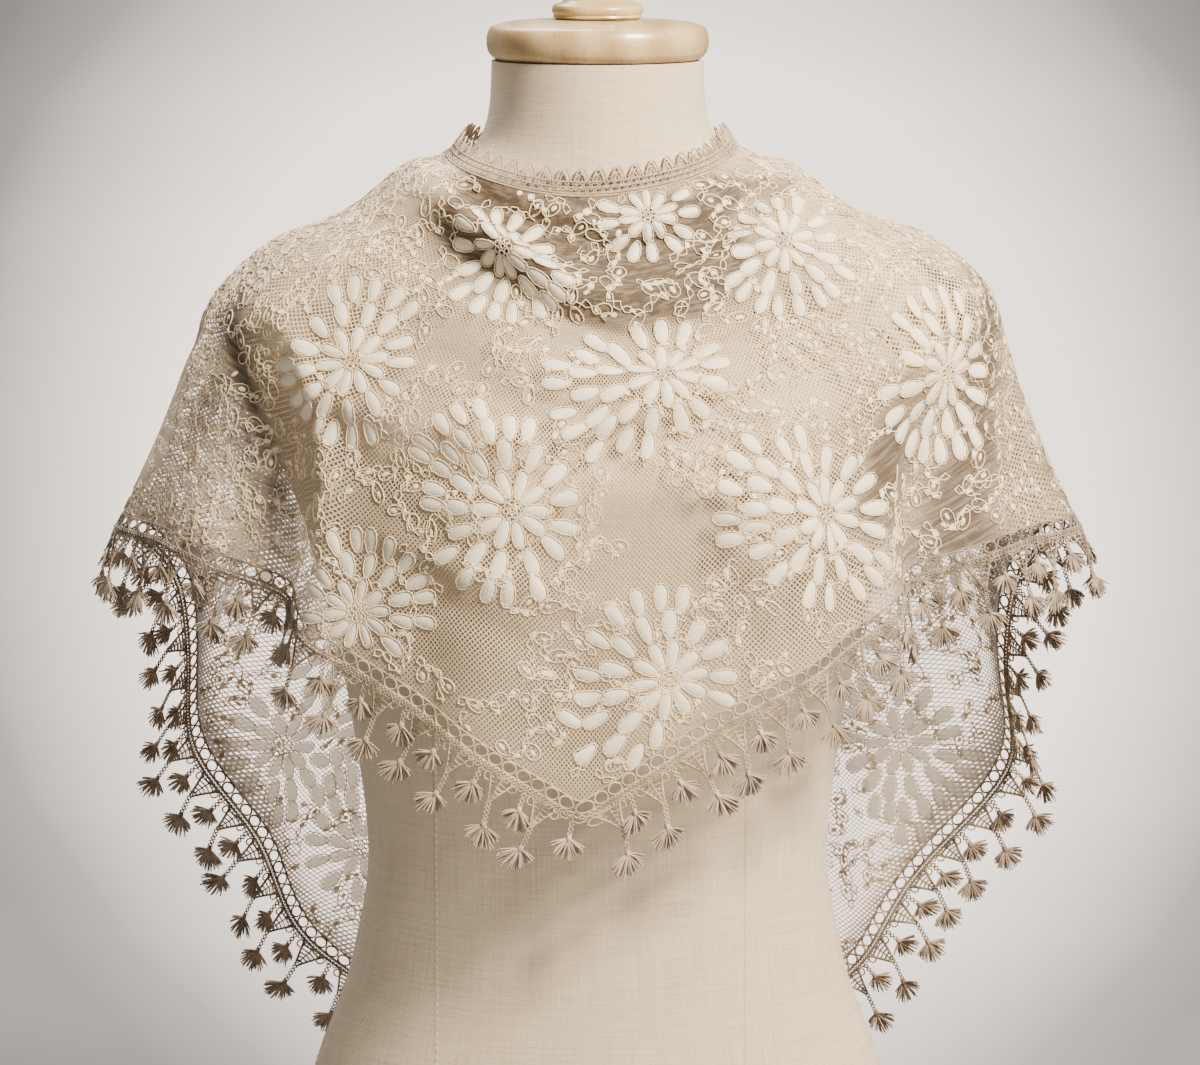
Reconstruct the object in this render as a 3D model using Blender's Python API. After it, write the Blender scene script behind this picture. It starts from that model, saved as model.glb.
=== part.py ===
"""Triangular lace mantilla veil, worn with its deep point forward on a limbless dress form.

Metres, +Z up, front towards -Y. The form stands on its flat underside at z = 0 with the origin
in the middle of it. The veil's long edge lies round the neck, its deep point hangs in front, its
sides stand off the shoulders as two wings, and its two ends lap over each other down the back.
Angles run round the neck from the front middle, positive towards +X.
"""

import math

import bmesh
import bpy
from mathutils import Vector

# Driving sizes
VEIL_THICK = 0.0012
SEAM_GAP = 0.0004
WALL_GAP = 0.0006
SKIN_CLEARANCE = 0.0007
HANG_CLEARANCE = 0.0030
BREAK_HEIGHT = 0.585
NECK_EDGE_HEIGHT = 0.6845
NECK_EDGE_DIP = 0.0175
NECK_EDGE_CURVE = 1.3
NECK_EDGE_TURN = -8.0
NECK_BACK_DROP = 0.0045
NECK_BACK_ANGLES = (85.0, 130.0)
POINT_ANGLE = -4.0
LAP_TOP = 0.0024
LAP_HEM = 0.0095
LAP_ANGLES = (130.0, 156.0)
FLARE_TOP = 0.612
FLARE_EASE = 0.03
FLUTE_TOP = 0.600
FLUTE_GROWTH = 0.12
UPPER_ROWS = 10
LOWER_ROWS = 10

# Hem edging: a row of open rings, a braid, then fans and tassels
FAN_PITCH = 0.026
RUNG_GAP = 0.0006
RAIL_IN = 0.0055
RAIL_OUT = 0.0090
FAN_DEPTH = 0.0165
FAN_STEM = 0.008
FAN_LOCK = (0.0125, 0.0100, 0.0050)
SHORT_STEM = 0.007
SHORT_LOCK = (0.0105, 0.0080, 0.0044)
STEM_SIZE = 0.0016
FAN_FALL = 0.85
SHORT_FALL = 0.35

# Neck and end edging: pointed picots
PICOT_PITCH = 0.014
PICOT_HEIGHT = 0.0125
PICOT_WIDTH = 0.0024
PICOT_THICK = 0.0010

# Colours, roughness
LACE = ((0.66, 0.55, 0.43), 0.85)
TRIM = ((0.62, 0.50, 0.39), 0.85)
LINEN = ((0.78, 0.72, 0.62), 0.90)
WOOD = ((0.80, 0.64, 0.42), 0.35)

# Half the columns of the shared grid, in degrees, and where the veil's stretches part
HALF_COLUMNS = (
    4, 12, 20, 28, 36, 44, 50,
    56, 61, 66, 71, 76, 81, 86, 91, 97, 103, 109, 115,
    122, 129, 137, 145, 154, 163, 172,
)
END_COLUMNS = (180, 188, 194)
FRONT_EDGE = 50
SIDE_EDGE = 115


class Table:
    """A short table with named columns, read by its first column with smooth values between rows."""

    def __init__(self, columns, rows):
        self.keys = [row[0] for row in rows]
        self.values = {}
        self.slopes = {}
        for index, name in enumerate(columns):
            values = [row[index] for row in rows]
            self.values[name] = values
            self.slopes[name] = self.tangents(values)

    def tangents(self, values):
        """Slopes that never overshoot the rows on either side."""
        steps = [b - a for a, b in zip(self.keys, self.keys[1:])]
        rises = [(b - a) / step for a, b, step in zip(values, values[1:], steps)]
        inner = [
            0.0 if left * right <= 0 else 2 * left * right / (left + right)
            for left, right in zip(rises, rises[1:])
        ]
        return [rises[0], *inner, rises[-1]]

    def at(self, name, key):
        keys = self.keys
        key = min(max(key, keys[0]), keys[-1])
        row = 0
        while row < len(keys) - 2 and key > keys[row + 1]:
            row += 1
        step = keys[row + 1] - keys[row]
        t = (key - keys[row]) / step
        low, high = self.values[name][row], self.values[name][row + 1]
        rise_low, rise_high = self.slopes[name][row], self.slopes[name][row + 1]
        return (
            low * (1 + 2 * t) * (1 - t) ** 2
            + high * t * t * (3 - 2 * t)
            + step * (rise_low * t * (1 - t) ** 2 + rise_high * t * t * (t - 1))
        )


FORM = Table(
    ("height", "half_width", "front", "back"),
    (
        (0.000, 0.1710, 0.0990, 0.1170),
        (0.012, 0.1750, 0.1030, 0.1210),
        (0.050, 0.1765, 0.1040, 0.1220),
        (0.110, 0.1710, 0.1020, 0.1190),
        (0.177, 0.1575, 0.0960, 0.1080),
        (0.240, 0.1360, 0.0890, 0.0950),
        (0.300, 0.1265, 0.0860, 0.0870),
        (0.373, 0.1345, 0.0930, 0.0910),
        (0.430, 0.1460, 0.1060, 0.0990),
        (0.470, 0.1560, 0.1170, 0.1060),
        (0.510, 0.1690, 0.1210, 0.1110),
        (0.550, 0.1920, 0.1130, 0.1095),
        (0.570, 0.2000, 0.1060, 0.1065),
        (0.590, 0.2010, 0.0970, 0.1020),
        (0.605, 0.1950, 0.0890, 0.0965),
        (0.620, 0.1800, 0.0815, 0.0900),
        (0.640, 0.1500, 0.0720, 0.0810),
        (0.655, 0.1240, 0.0660, 0.0740),
        (0.670, 0.0980, 0.0625, 0.0685),
        (0.680, 0.0800, 0.0608, 0.0655),
        (0.690, 0.0660, 0.0595, 0.0630),
        (0.700, 0.0605, 0.0585, 0.0610),
        (0.715, 0.0578, 0.0575, 0.0585),
        (0.735, 0.0570, 0.0570, 0.0570),
    ),
)
FORM_TOP = 0.735
FORM_LOW_RINGS = (
    0.560, 0.535, 0.510, 0.480, 0.440, 0.395, 0.345, 0.300, 0.250, 0.195, 0.140, 0.080, 0.030, 0.008, 0.0,
)
BUST = {"angle": 31.0, "spread": 19.0, "height": 0.512, "rise": 0.048, "depth": 0.012}

# How steeply the veil stands off the shoulders, and where its hem hangs, by angle from the point
DRAPE = Table(
    ("angle", "flare", "hem"),
    (
        (0, 0.04, 0.356),
        (15, 0.04, 0.379),
        (33, 0.05, 0.409),
        (52, 0.09, 0.437),
        (63, 0.15, 0.458),
        (72, 0.19, 0.473),
        (82, 0.40, 0.486),
        (90, 0.52, 0.487),
        (93, 0.50, 0.484),
        (96, 0.42, 0.477),
        (100, 0.34, 0.461),
        (103, 0.31, 0.440),
        (107, 0.32, 0.405),
        (114, 0.33, 0.343),
        (124, 0.26, 0.270),
        (134, 0.20, 0.207),
        (150, 0.12, 0.152),
        (165, 0.08, 0.114),
        (180, 0.07, 0.090),
        (194, 0.07, 0.076),
    ),
)

# Upright flutes: angle, half width in degrees, how far it stands out at the hem
FLUTES = (
    (-147, 8.0, -0.012), (-134, 7.0, 0.008), (-122, 6.5, -0.014), (-107, 6.0, -0.009),
    (-84, 5.5, -0.006), (-67, 5.5, -0.017), (-56, 5.0, 0.006), (-36, 8.0, -0.005),
    (22, 9.0, -0.004), (42, 7.0, 0.005),
    (57, 5.0, 0.004), (68, 5.5, -0.018), (83, 5.0, -0.007), (107, 6.0, -0.010),
    (118, 6.0, 0.006), (128, 7.0, -0.013), (142, 7.5, 0.008), (158, 8.0, -0.006),
)

# Swags: height in front, height over the shoulder, how far it stands out, half its depth
SWAGS = (
    (0.648, 0.682, 0.0050, 0.0095),
    (0.614, 0.670, 0.0095, 0.0115),
    (0.570, 0.630, 0.0045, 0.0130),
    (0.522, 0.603, 0.0030, 0.0150),
)
SWAG_TURN = 8.0
SWAG_BACK_SHARE = 0.45
SWAG_BACK_ANGLES = (60.0, 140.0)

# The veil's puff over each shoulder: side, height, half its height, how far it stands out
PUFFS = ((-1, 0.597, 0.050, 0.0065), (1, 0.608, 0.042, 0.0110))
PUFF_ANGLES = (50.0, 70.0, 105.0, 125.0)


def ease(t):
    """Smooth step from 0 to 1."""
    t = min(max(t, 0.0), 1.0)
    return t * t * (3 - 2 * t)


def bump(distance, half_width):
    """A soft hill of height 1."""
    return math.exp(-((distance / half_width) ** 2))


def form_radius(angle, height):
    """How far the dress form's skin is from the upright axis."""
    sine, cosine = math.sin(math.radians(angle)), math.cos(math.radians(angle))
    depth = FORM.at("front" if cosine > 0 else "back", height)
    radius = 1 / math.hypot(sine / FORM.at("half_width", height), cosine / depth)
    turned = abs(math.degrees(math.atan2(sine, cosine)))
    swell = bump(turned - BUST["angle"], BUST["spread"]) * bump(height - BUST["height"], BUST["rise"])
    return radius + BUST["depth"] * swell


def point_at(angle, radius, height):
    turn = math.radians(angle)
    return Vector((radius * math.sin(turn), -radius * math.cos(turn), height))


def neck_edge(angle):
    """Height of the veil's long edge: lowest in front, level over the shoulders, a little lower behind."""
    front = max(0.0, math.cos(math.radians(angle - NECK_EDGE_TURN))) ** NECK_EDGE_CURVE
    first, last = NECK_BACK_ANGLES
    behind = ease((abs(angle) - first) / (last - first))
    return NECK_EDGE_HEIGHT - NECK_EDGE_DIP * front - NECK_BACK_DROP * behind


def neck_ring(angle):
    """Height of the form's ring above the veil's edge."""
    return neck_edge(angle) + 0.4 * (FORM_TOP - neck_edge(angle))


def hem_height(angle):
    shift = -POINT_ANGLE * max(0.0, math.cos(math.radians(angle)))
    return DRAPE.at("hem", abs(angle + shift))


def level(angle, row):
    """Height of a row of the veil: the upper rows reach the break of the shoulder, the rest the hem."""
    if row <= UPPER_ROWS:
        return neck_edge(angle) + (BREAK_HEIGHT - neck_edge(angle)) * row / UPPER_ROWS
    share = (row - UPPER_ROWS) / LOWER_ROWS
    return BREAK_HEIGHT + (hem_height(angle) - BREAK_HEIGHT) * share


def curtain(angle, height):
    """Radius of cloth that hangs straight down from the widest form above it."""
    steps = max(0, math.ceil((BREAK_HEIGHT - height) / 0.01))
    heights = [height + (BREAK_HEIGHT - height) * k / steps for k in range(steps + 1)] if steps else [height]
    return max(form_radius(angle, h) for h in heights)


def flare(angle, height):
    drop = max(0.0, FLARE_TOP - height)
    ramp = drop * drop / (2 * FLARE_EASE) if drop < FLARE_EASE else drop - FLARE_EASE / 2
    return DRAPE.at("flare", min(abs(angle), 360 - abs(angle))) * ramp


def flutes(angle, height):
    growth = min(max((FLUTE_TOP - height) / FLUTE_GROWTH, 0.0), 1.0) ** 1.3
    return growth * sum(out * bump(angle - middle, width) for middle, width, out in FLUTES)


def swags(angle, height):
    """How far the rolls of the cowl and the swags under it stand out."""
    turned = min(abs(angle - SWAG_TURN), 90.0)
    rise = math.sin(math.radians(turned)) ** 2
    first, last = SWAG_BACK_ANGLES
    share = 1 - (1 - SWAG_BACK_SHARE) * ease((abs(angle) - first) / (last - first))
    return share * sum(
        out * bump(height - (front + (side - front) * rise), deep) for front, side, out, deep in SWAGS
    )


def puff(angle, height):
    """How far the veil stands off the outer shoulder."""
    side, middle, deep, out = PUFFS[0] if angle < 0 else PUFFS[1]
    first, full, last, none = PUFF_ANGLES
    share = ease((angle * side - first) / (full - first)) * ease((none - angle * side) / (none - last))
    return share * out * bump(height - middle, deep)


def lap(angle, row):
    """How far the right end lies out over the left end down the back."""
    if angle < 0:
        return 0.0
    low, high = LAP_ANGLES
    share = row / (UPPER_ROWS + LOWER_ROWS)
    return ease((angle - low) / (high - low)) * (LAP_TOP + (LAP_HEM - LAP_TOP) * share)


def veil_base(angle, row):
    """A point of the veil before its swags and clearance: on the form above, hanging below."""
    height = level(angle, row)
    hanging = curtain(angle, height) + flare(angle, height) + flutes(angle, height)
    return point_at(angle, max(hanging, form_radius(angle, height)), height)


def grid_normals(grid):
    """Outward directions of a grid of points, columns first."""
    last_column, last_row = len(grid) - 1, len(grid[0]) - 1
    normals = []
    for i, column in enumerate(grid):
        left, right = grid[max(i - 1, 0)], grid[min(i + 1, last_column)]
        normals.append(
            [
                (column[min(j + 1, last_row)] - column[max(j - 1, 0)])
                .cross(right[j] - left[j])
                .normalized()
                for j in range(last_row + 1)
            ]
        )
    return normals


def veil_grid(angles):
    """The veil's inner face as columns of points, with its outward directions."""
    rows = range(UPPER_ROWS + LOWER_ROWS + 1)
    base = [[veil_base(angle, row) for row in rows] for angle in angles]
    out = grid_normals(base)
    grid = []
    for i, angle in enumerate(angles):
        column = []
        for row in rows:
            height = base[i][row].z
            hang = ease((BREAK_HEIGHT + 0.01 - height) / 0.03)
            clearance = SKIN_CLEARANCE + (HANG_CLEARANCE - SKIN_CLEARANCE) * hang
            offset = clearance + swags(angle, height) + puff(angle, height) + lap(angle, row)
            column.append(base[i][row] + out[i][row] * offset)
        grid.append(column)
    return grid, grid_normals(grid)


def new_material(name, finish):
    colour, roughness = finish
    material = bpy.data.materials.new(name)
    material.use_nodes = True
    shader = material.node_tree.nodes["Principled BSDF"]
    shader.inputs["Base Color"].default_value = (*colour, 1.0)
    shader.inputs["Roughness"].default_value = roughness
    shader.inputs["Metallic"].default_value = 0.0
    return material


def add_object(name, bm, material):
    """Turns a bmesh into a named object with its faces pointing out."""
    bmesh.ops.recalc_face_normals(bm, faces=bm.faces)
    bmesh.ops.triangulate(bm, faces=bm.faces, quad_method="FIXED")
    mesh = bpy.data.meshes.new(name)
    bm.to_mesh(mesh)
    bm.free()
    mesh.materials.append(material)
    mesh.shade_smooth()
    mesh.set_sharp_from_angle(angle=math.radians(50))
    obj = bpy.data.objects.new(name, mesh)
    bpy.context.scene.collection.objects.link(obj)
    return obj


def skin(bm, columns, ring=False, inward=False):
    """Quads between neighbouring columns of vertices; ring joins the last to the first.

    Each quad starts at the same corner whichever way it faces, so that all are cut along one diagonal.
    """
    pairs = list(zip(columns, columns[1:]))
    if ring:
        pairs.append((columns[-1], columns[0]))
    for left, right in pairs:
        for j in range(len(left) - 1):
            corners = (left[j + 1], right[j + 1], right[j])
            bm.faces.new((left[j], *(reversed(corners) if inward else corners)))


def add_wall(name, inner, outer, material):
    """A thin closed wall between two grids of points."""
    bm = bmesh.new()
    inside = [[bm.verts.new(p) for p in column] for column in inner]
    outside = [[bm.verts.new(p) for p in column] for column in outer]
    skin(bm, outside)
    skin(bm, inside, inward=True)
    for i, j in ((0, 1), (-1, -2)):
        for k in range(len(inside[i]) - 1):
            bm.faces.new((inside[i][k], inside[i][k + 1], outside[i][k + 1], outside[i][k]))
    for row in (0, -1):
        for left in range(len(inside) - 1):
            bm.faces.new(
                (inside[left][row], inside[left + 1][row], outside[left + 1][row], outside[left][row])
            )
    return add_object(name, bm, material)


def trimmed(columns, by):
    """The columns with the first and last drawn in along the cloth, so that two walls stay apart."""
    drawn = [list(column) for column in columns]
    for end, inner in ((0, 1), (-1, -2)):
        drawn[end] = [p + (q - p).normalized() * by for p, q in zip(columns[end], columns[inner])]
    return drawn


def add_turned(name, profile, segments, material):
    """A turned wooden piece from a profile of radius and height, closed on the axis."""
    bm = bmesh.new()
    chain = [bm.verts.new((radius, 0, height)) for radius, height in profile]
    edges = [bm.edges.new(pair) for pair in zip(chain, chain[1:])]
    bmesh.ops.spin(
        bm, geom=chain + edges, cent=(0, 0, 0), axis=(0, 0, 1), angle=2 * math.pi,
        steps=segments, use_merge=True,
    )
    bmesh.ops.remove_doubles(bm, verts=bm.verts, dist=0.00001)
    return add_object(name, bm, material)


def add_form(material):
    """The padded torso with its neck, flat underneath, on the veil's own columns and upper rows."""
    angles = [-a for a in reversed(HALF_COLUMNS)] + list(HALF_COLUMNS) + [END_COLUMNS[0]]
    bm = bmesh.new()
    columns = []
    for angle in angles:
        heights = [FORM_TOP, neck_ring(angle)]
        heights += [level(angle, row) for row in range(UPPER_ROWS + 1)]
        heights += FORM_LOW_RINGS
        columns.append([bm.verts.new(point_at(angle, form_radius(angle, h), h)) for h in heights])
    skin(bm, columns, ring=True)
    bm.faces.new([column[0] for column in columns])
    bm.faces.new([column[-1] for column in reversed(columns)])
    return add_object("dress_form", bm, material)


class EdgeLine:
    """A free edge of the veil: points along it, the way off the cloth, and the way out."""

    def __init__(self, points, away, out):
        self.points, self.away, self.out = points, away, out
        self.along = [0.0]
        for a, b in zip(points, points[1:]):
            self.along.append(self.along[-1] + (b - a).length)
        self.length = self.along[-1]

    def at(self, along):
        """(point, way off the cloth, way out) at a distance along the edge."""
        k = 0
        while k < len(self.along) - 2 and along > self.along[k + 1]:
            k += 1
        t = (along - self.along[k]) / (self.along[k + 1] - self.along[k])
        point = self.points[k].lerp(self.points[k + 1], t)
        away = self.away[k].lerp(self.away[k + 1], t).normalized()
        out = self.out[k].lerp(self.out[k + 1], t)
        return point, away, (out - away * out.dot(away)).normalized()

    def place(self, along, off, raised):
        point, away, out = self.at(along)
        return point + away * off + out * raised


def edge_line(edge, before, out):
    """An EdgeLine from the edge's points, the next points inside the cloth, and outward directions."""
    away = []
    for k, point in enumerate(edge):
        run = edge[min(k + 1, len(edge) - 1)] - edge[max(k - 1, 0)]
        off = point - before[k]
        away.append((off - run * (off.dot(run) / run.length_squared)).normalized())
    return EdgeLine(edge, away, out)


def grow(bm, ring, stations):
    """Grows a closed branch from a ring of four vertices through rings of four points."""
    for points in stations:
        following = [bm.verts.new(p) for p in points]
        for k in range(4):
            bm.faces.new((ring[k], ring[(k + 1) % 4], following[(k + 1) % 4], following[k]))
        ring = following
    bm.faces.new(ring)


def lock_rings(start, axis, across, out, stem, lock):
    """The rings of a hanging stem with a fluffy lock that widens to its end."""
    length, width, thick = lock
    rings = []
    for reach, wide, deep in ((stem, STEM_SIZE, STEM_SIZE), (stem + length, width, thick)):
        middle = start + axis * reach
        rings.append(
            [
                middle + across * (wide / 2 * side) + out * (deep / 2 * face)
                for side, face in ((-1, 1), (1, 1), (1, -1), (-1, -1))
            ]
        )
    return rings


def hanging_frame(line, along, fall):
    """(axis, across, out) of a lock that hangs between square to the edge and straight down."""
    _, away, out = line.at(along)
    axis = (away + Vector((0, 0, -fall))).normalized()
    out = (out - axis * out.dot(axis)).normalized()
    across = out.cross(axis)
    run = line.at(min(along + 0.002, line.length))[0] - line.at(max(along - 0.002, 0.0))[0]
    return axis, across if across.dot(run) > 0 else -across, out


def add_fringe(name, line, material):
    """Hem edging: open rings inside a braid, with a fan, a long lock and a short lock at each pitch."""
    bm = bmesh.new()
    half = VEIL_THICK / 2
    count = round(line.length / FAN_PITCH)
    pitch = line.length / count
    marks = {"short": (0.106, 0.226), "fan": (0.438, 0.892), "rungs": ((0.438, 0.558), (0.772, 0.892))}

    def station(along, off):
        return [bm.verts.new(line.place(along, off, raised)) for raised in (half, -half)]

    def rung(first, second):
        """A pointed bar from the braid to just short of the cloth."""
        middle = (first[2] + second[2]) / 2
        tip = [bm.verts.new(line.place(middle, RUNG_GAP, raised)) for raised in (half, -half)]
        bm.faces.new((first[0], second[0], tip[0]))
        bm.faces.new((second[1], first[1], tip[1]))
        bm.faces.new((first[1], first[0], tip[0], tip[1]))
        bm.faces.new((second[0], second[1], tip[1], tip[0]))

    def cell(inner, outer):
        """Braid between stations: its two faces, from several inner and two outer stations."""
        bm.faces.new([s[0] for s in inner] + [s[0] for s in reversed(outer)])
        bm.faces.new([s[1] for s in reversed(inner)] + [s[1] for s in outer])

    def side(first, second):
        bm.faces.new((first[0], first[1], second[1], second[0]))

    def inner_mark(along):
        return (*station(along, RAIL_IN), along)

    start = SEAM_GAP
    before = (inner_mark(start), station(start, RAIL_OUT))
    side(before[0], before[1])
    for module in range(count):
        base = module * pitch
        short = [base + pitch * m for m in marks["short"]]
        fan = [base + pitch * m for m in marks["fan"]]
        short_in = [inner_mark(s) for s in short]
        short_out = [station(s, RAIL_OUT) for s in short]
        fan_in = [inner_mark(base + pitch * m) for pair in marks["rungs"] for m in pair]
        fan_out = [station(s, RAIL_OUT) for s in fan]

        cell((before[0], short_in[0]), (before[1], short_out[0]))
        side(before[0], short_in[0])
        side(before[1], short_out[0])
        cell(short_in, short_out)
        rung(*short_in)
        cell((short_in[1], fan_in[0]), (short_out[1], fan_out[0]))
        side(short_in[1], fan_in[0])
        side(short_out[1], fan_out[0])
        cell(fan_in, fan_out)
        rung(fan_in[0], fan_in[1])
        side(fan_in[1], fan_in[2])
        rung(fan_in[2], fan_in[3])

        middle = sum(short) / 2
        axis, across, out = hanging_frame(line, middle, SHORT_FALL)
        rings = lock_rings(line.place(middle, RAIL_OUT, 0), axis, across, out, SHORT_STEM, SHORT_LOCK)
        grow(bm, (short_out[0][0], short_out[1][0], short_out[1][1], short_out[0][1]), rings)

        middle = sum(fan) / 2
        tip = line.place(middle, RAIL_OUT + FAN_DEPTH, 0)
        axis, across, out = hanging_frame(line, middle, FAN_FALL)
        neck = [
            tip + across * (STEM_SIZE * 0.8 * s) + out * (half * f)
            for s, f in ((-1, 1), (1, 1), (1, -1), (-1, -1))
        ]
        rings = [neck] + lock_rings(tip, axis, across, out, FAN_STEM, FAN_LOCK)
        grow(bm, (fan_out[0][0], fan_out[1][0], fan_out[1][1], fan_out[0][1]), rings)
        before = (fan_in[3], fan_out[1])
    end = (inner_mark(line.length - SEAM_GAP), station(line.length - SEAM_GAP, RAIL_OUT))
    cell((before[0], end[0]), (before[1], end[1]))
    side(before[0], end[0])
    side(before[1], end[1])
    side(end[0], end[1])
    return add_object(name, bm, material)


def add_picots(name, line, start, stop, gap, material):
    """A zigzag of pointed loops along an edge, this far off it."""
    bm = bmesh.new()
    turns = 2 * round((stop - start) / PICOT_PITCH)
    rings = []
    for turn in range(turns + 1):
        along = start + (stop - start) * turn / turns
        middle = gap + PICOT_WIDTH / 2 if turn % 2 == 0 else PICOT_HEIGHT - PICOT_WIDTH / 2
        corners = ((-1, 1), (1, 1), (1, -1), (-1, -1))
        rings.append(
            [
                bm.verts.new(line.place(along, middle + PICOT_WIDTH / 2 * s, PICOT_THICK / 2 * f))
                for s, f in corners
            ]
        )
    for first, second in zip(rings, rings[1:]):
        for k in range(4):
            bm.faces.new((first[k], first[(k + 1) % 4], second[(k + 1) % 4], second[k]))
    bm.faces.new(rings[0])
    bm.faces.new(rings[-1])
    return add_object(name, bm, material)


def neck_line(angles, edge, out):
    """The veil's edge round the neck; off the cloth runs up along the skin of the form."""
    away = []
    for angle in angles:
        low = neck_edge(angle)
        high = neck_ring(angle)
        skin_low = point_at(angle, form_radius(angle, low), low)
        skin_high = point_at(angle, form_radius(angle, high), high)
        away.append((skin_high - skin_low).normalized())
    return EdgeLine(edge, away, out)


def add_band(name, line, start, stop, width, material):
    """A plain narrow strip down a free edge, for the edge that the other end covers."""
    bm = bmesh.new()
    rings = []
    for along in [start, *(mark for mark in line.along if start < mark < stop), stop]:
        corners = ((SEAM_GAP, 1), (width, 1), (width, -1), (SEAM_GAP, -1))
        rings.append([bm.verts.new(line.place(along, off, PICOT_THICK / 2 * f)) for off, f in corners])
    for first, second in zip(rings, rings[1:]):
        for k in range(4):
            bm.faces.new((first[k], first[(k + 1) % 4], second[(k + 1) % 4], second[k]))
    bm.faces.new(rings[0])
    bm.faces.new(rings[-1])
    return add_object(name, bm, material)


def main():
    for obj in list(bpy.data.objects):
        bpy.data.objects.remove(obj)
    lace, trim = new_material("lace", LACE), new_material("trim", TRIM)
    linen, wood = new_material("linen", LINEN), new_material("wood", WOOD)

    add_form(linen)
    gap = SEAM_GAP
    cap_low = FORM_TOP + gap
    add_turned(
        "neck_cap",
        (
            (0, cap_low), (0.0540, cap_low), (0.0580, cap_low + 0.003), (0.0597, cap_low + 0.008),
            (0.0590, cap_low + 0.014), (0.0555, cap_low + 0.018), (0.0460, cap_low + 0.0205),
            (0.0260, cap_low + 0.0215), (0, cap_low + 0.0215),
        ),
        32, wood,
    )
    knob_low = cap_low + 0.0215 + gap
    add_turned(
        "cap_knob",
        (
            (0, knob_low), (0.0235, knob_low), (0.0245, knob_low + 0.004), (0.0232, knob_low + 0.008),
            (0.0190, knob_low + 0.010), (0.0165, knob_low + 0.016), (0.0185, knob_low + 0.024),
            (0.0205, knob_low + 0.032), (0.0190, knob_low + 0.040), (0.0120, knob_low + 0.046),
            (0, knob_low + 0.048),
        ),
        20, wood,
    )

    angles = [-a for a in reversed(HALF_COLUMNS + END_COLUMNS)] + list(HALF_COLUMNS + END_COLUMNS)
    inner, out = veil_grid(angles)
    outer = [
        [p + n * VEIL_THICK for p, n in zip(column, normals)] for column, normals in zip(inner, out)
    ]
    stretches = {
        "left_end": (angles[0], -SIDE_EDGE),
        "left_wing": (-SIDE_EDGE, -FRONT_EDGE),
        "front": (-FRONT_EDGE, FRONT_EDGE),
        "right_wing": (FRONT_EDGE, SIDE_EDGE),
        "right_end": (SIDE_EDGE, angles[-1]),
    }
    for name, (low, high) in stretches.items():
        part = slice(angles.index(low), angles.index(high) + 1)
        walls = [trimmed(grid[part], WALL_GAP / 2) for grid in (inner, outer)]
        add_wall("veil_" + name, *walls, lace)
        middle = [[(a + b) / 2 for a, b in zip(*pair)] for pair in zip(*walls)]
        line = edge_line([c[-1] for c in middle], [c[-2] for c in middle], [n[-1] for n in out[part]])
        add_fringe("fringe_" + name, line, trim)
        if name.endswith("end"):
            side, next_in = (0, 1) if name == "left_end" else (-1, -2)
            normals = out[part][side]
            free = edge_line(middle[side], middle[next_in], normals)
            start, stop = 0.022, free.length - 0.010
            if name == "right_end":
                add_picots("edging_right_end", free, start, stop, gap, trim)
            else:
                add_band("edging_left_end", free, start, stop, PICOT_HEIGHT * 0.7, trim)

    top = [(a[0] + b[0]) / 2 for a, b in zip(inner, outer)]
    neck = neck_line(angles, top, [normals[0] for normals in out])
    add_picots("edging_neck_left", neck, 0.0, neck.length / 2 - 0.001, 2 * gap, trim)
    add_picots("edging_neck_right", neck, neck.length / 2 + 0.001, neck.length, 2 * gap, trim)


main()
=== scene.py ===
"""Looks of a triangular lace mantilla veil, worn point-forward on a limbless linen dress form.

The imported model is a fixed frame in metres, +Z up, front towards -Y. The veil is one thin sheet of
net that repeats the drape of the solid walls on a finer grid, and its petals, cords, scrolls and hem
edging are laid out on that sheet. Angles run round the neck from the front middle, positive to +X.
"""

import itertools
import logging
import math
import random
from dataclasses import dataclass, field
from enum import Enum
from typing import Any, Callable, Iterable, Optional, Sequence

import bmesh
import bpy
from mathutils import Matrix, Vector


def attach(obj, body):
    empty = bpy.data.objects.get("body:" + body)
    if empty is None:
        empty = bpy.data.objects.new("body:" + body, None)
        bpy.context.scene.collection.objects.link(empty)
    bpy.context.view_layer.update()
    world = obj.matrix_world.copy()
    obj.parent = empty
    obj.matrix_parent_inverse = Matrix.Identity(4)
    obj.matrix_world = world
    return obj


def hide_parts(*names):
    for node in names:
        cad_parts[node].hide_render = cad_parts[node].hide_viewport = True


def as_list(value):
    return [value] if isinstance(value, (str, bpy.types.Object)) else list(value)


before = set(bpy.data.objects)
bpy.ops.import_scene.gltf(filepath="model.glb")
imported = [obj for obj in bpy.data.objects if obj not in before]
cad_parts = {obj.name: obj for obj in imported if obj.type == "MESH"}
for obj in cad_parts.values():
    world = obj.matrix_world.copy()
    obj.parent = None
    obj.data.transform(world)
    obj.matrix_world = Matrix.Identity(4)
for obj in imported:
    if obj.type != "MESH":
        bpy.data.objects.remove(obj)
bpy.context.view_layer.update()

LOG = logging.getLogger("mantilla_veil")
BODY = "root"

Triple = tuple[float, float, float]
Colour = Triple
Place = tuple[float, float]

# Turns along half an oval, for the small arches of the edgings
HALF_OVAL = tuple(math.pi * k / 4 for k in range(5))


def ease(share: float) -> float:
    """Returns a smooth step from 0 to 1."""
    share = min(max(share, 0.0), 1.0)
    return share * share * (3 - 2 * share)


def bump(distance: float, half_width: float) -> float:
    """Returns the height of a soft hill of height 1."""
    return math.exp(-((distance / half_width) ** 2))


def point_at(angle: float, radius: float, height: float) -> Vector:
    """Returns the point at an angle in degrees, a radius from the neck's axis and a height."""
    turn = math.radians(angle)
    return Vector((radius * math.sin(turn), -radius * math.cos(turn), height))


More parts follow.
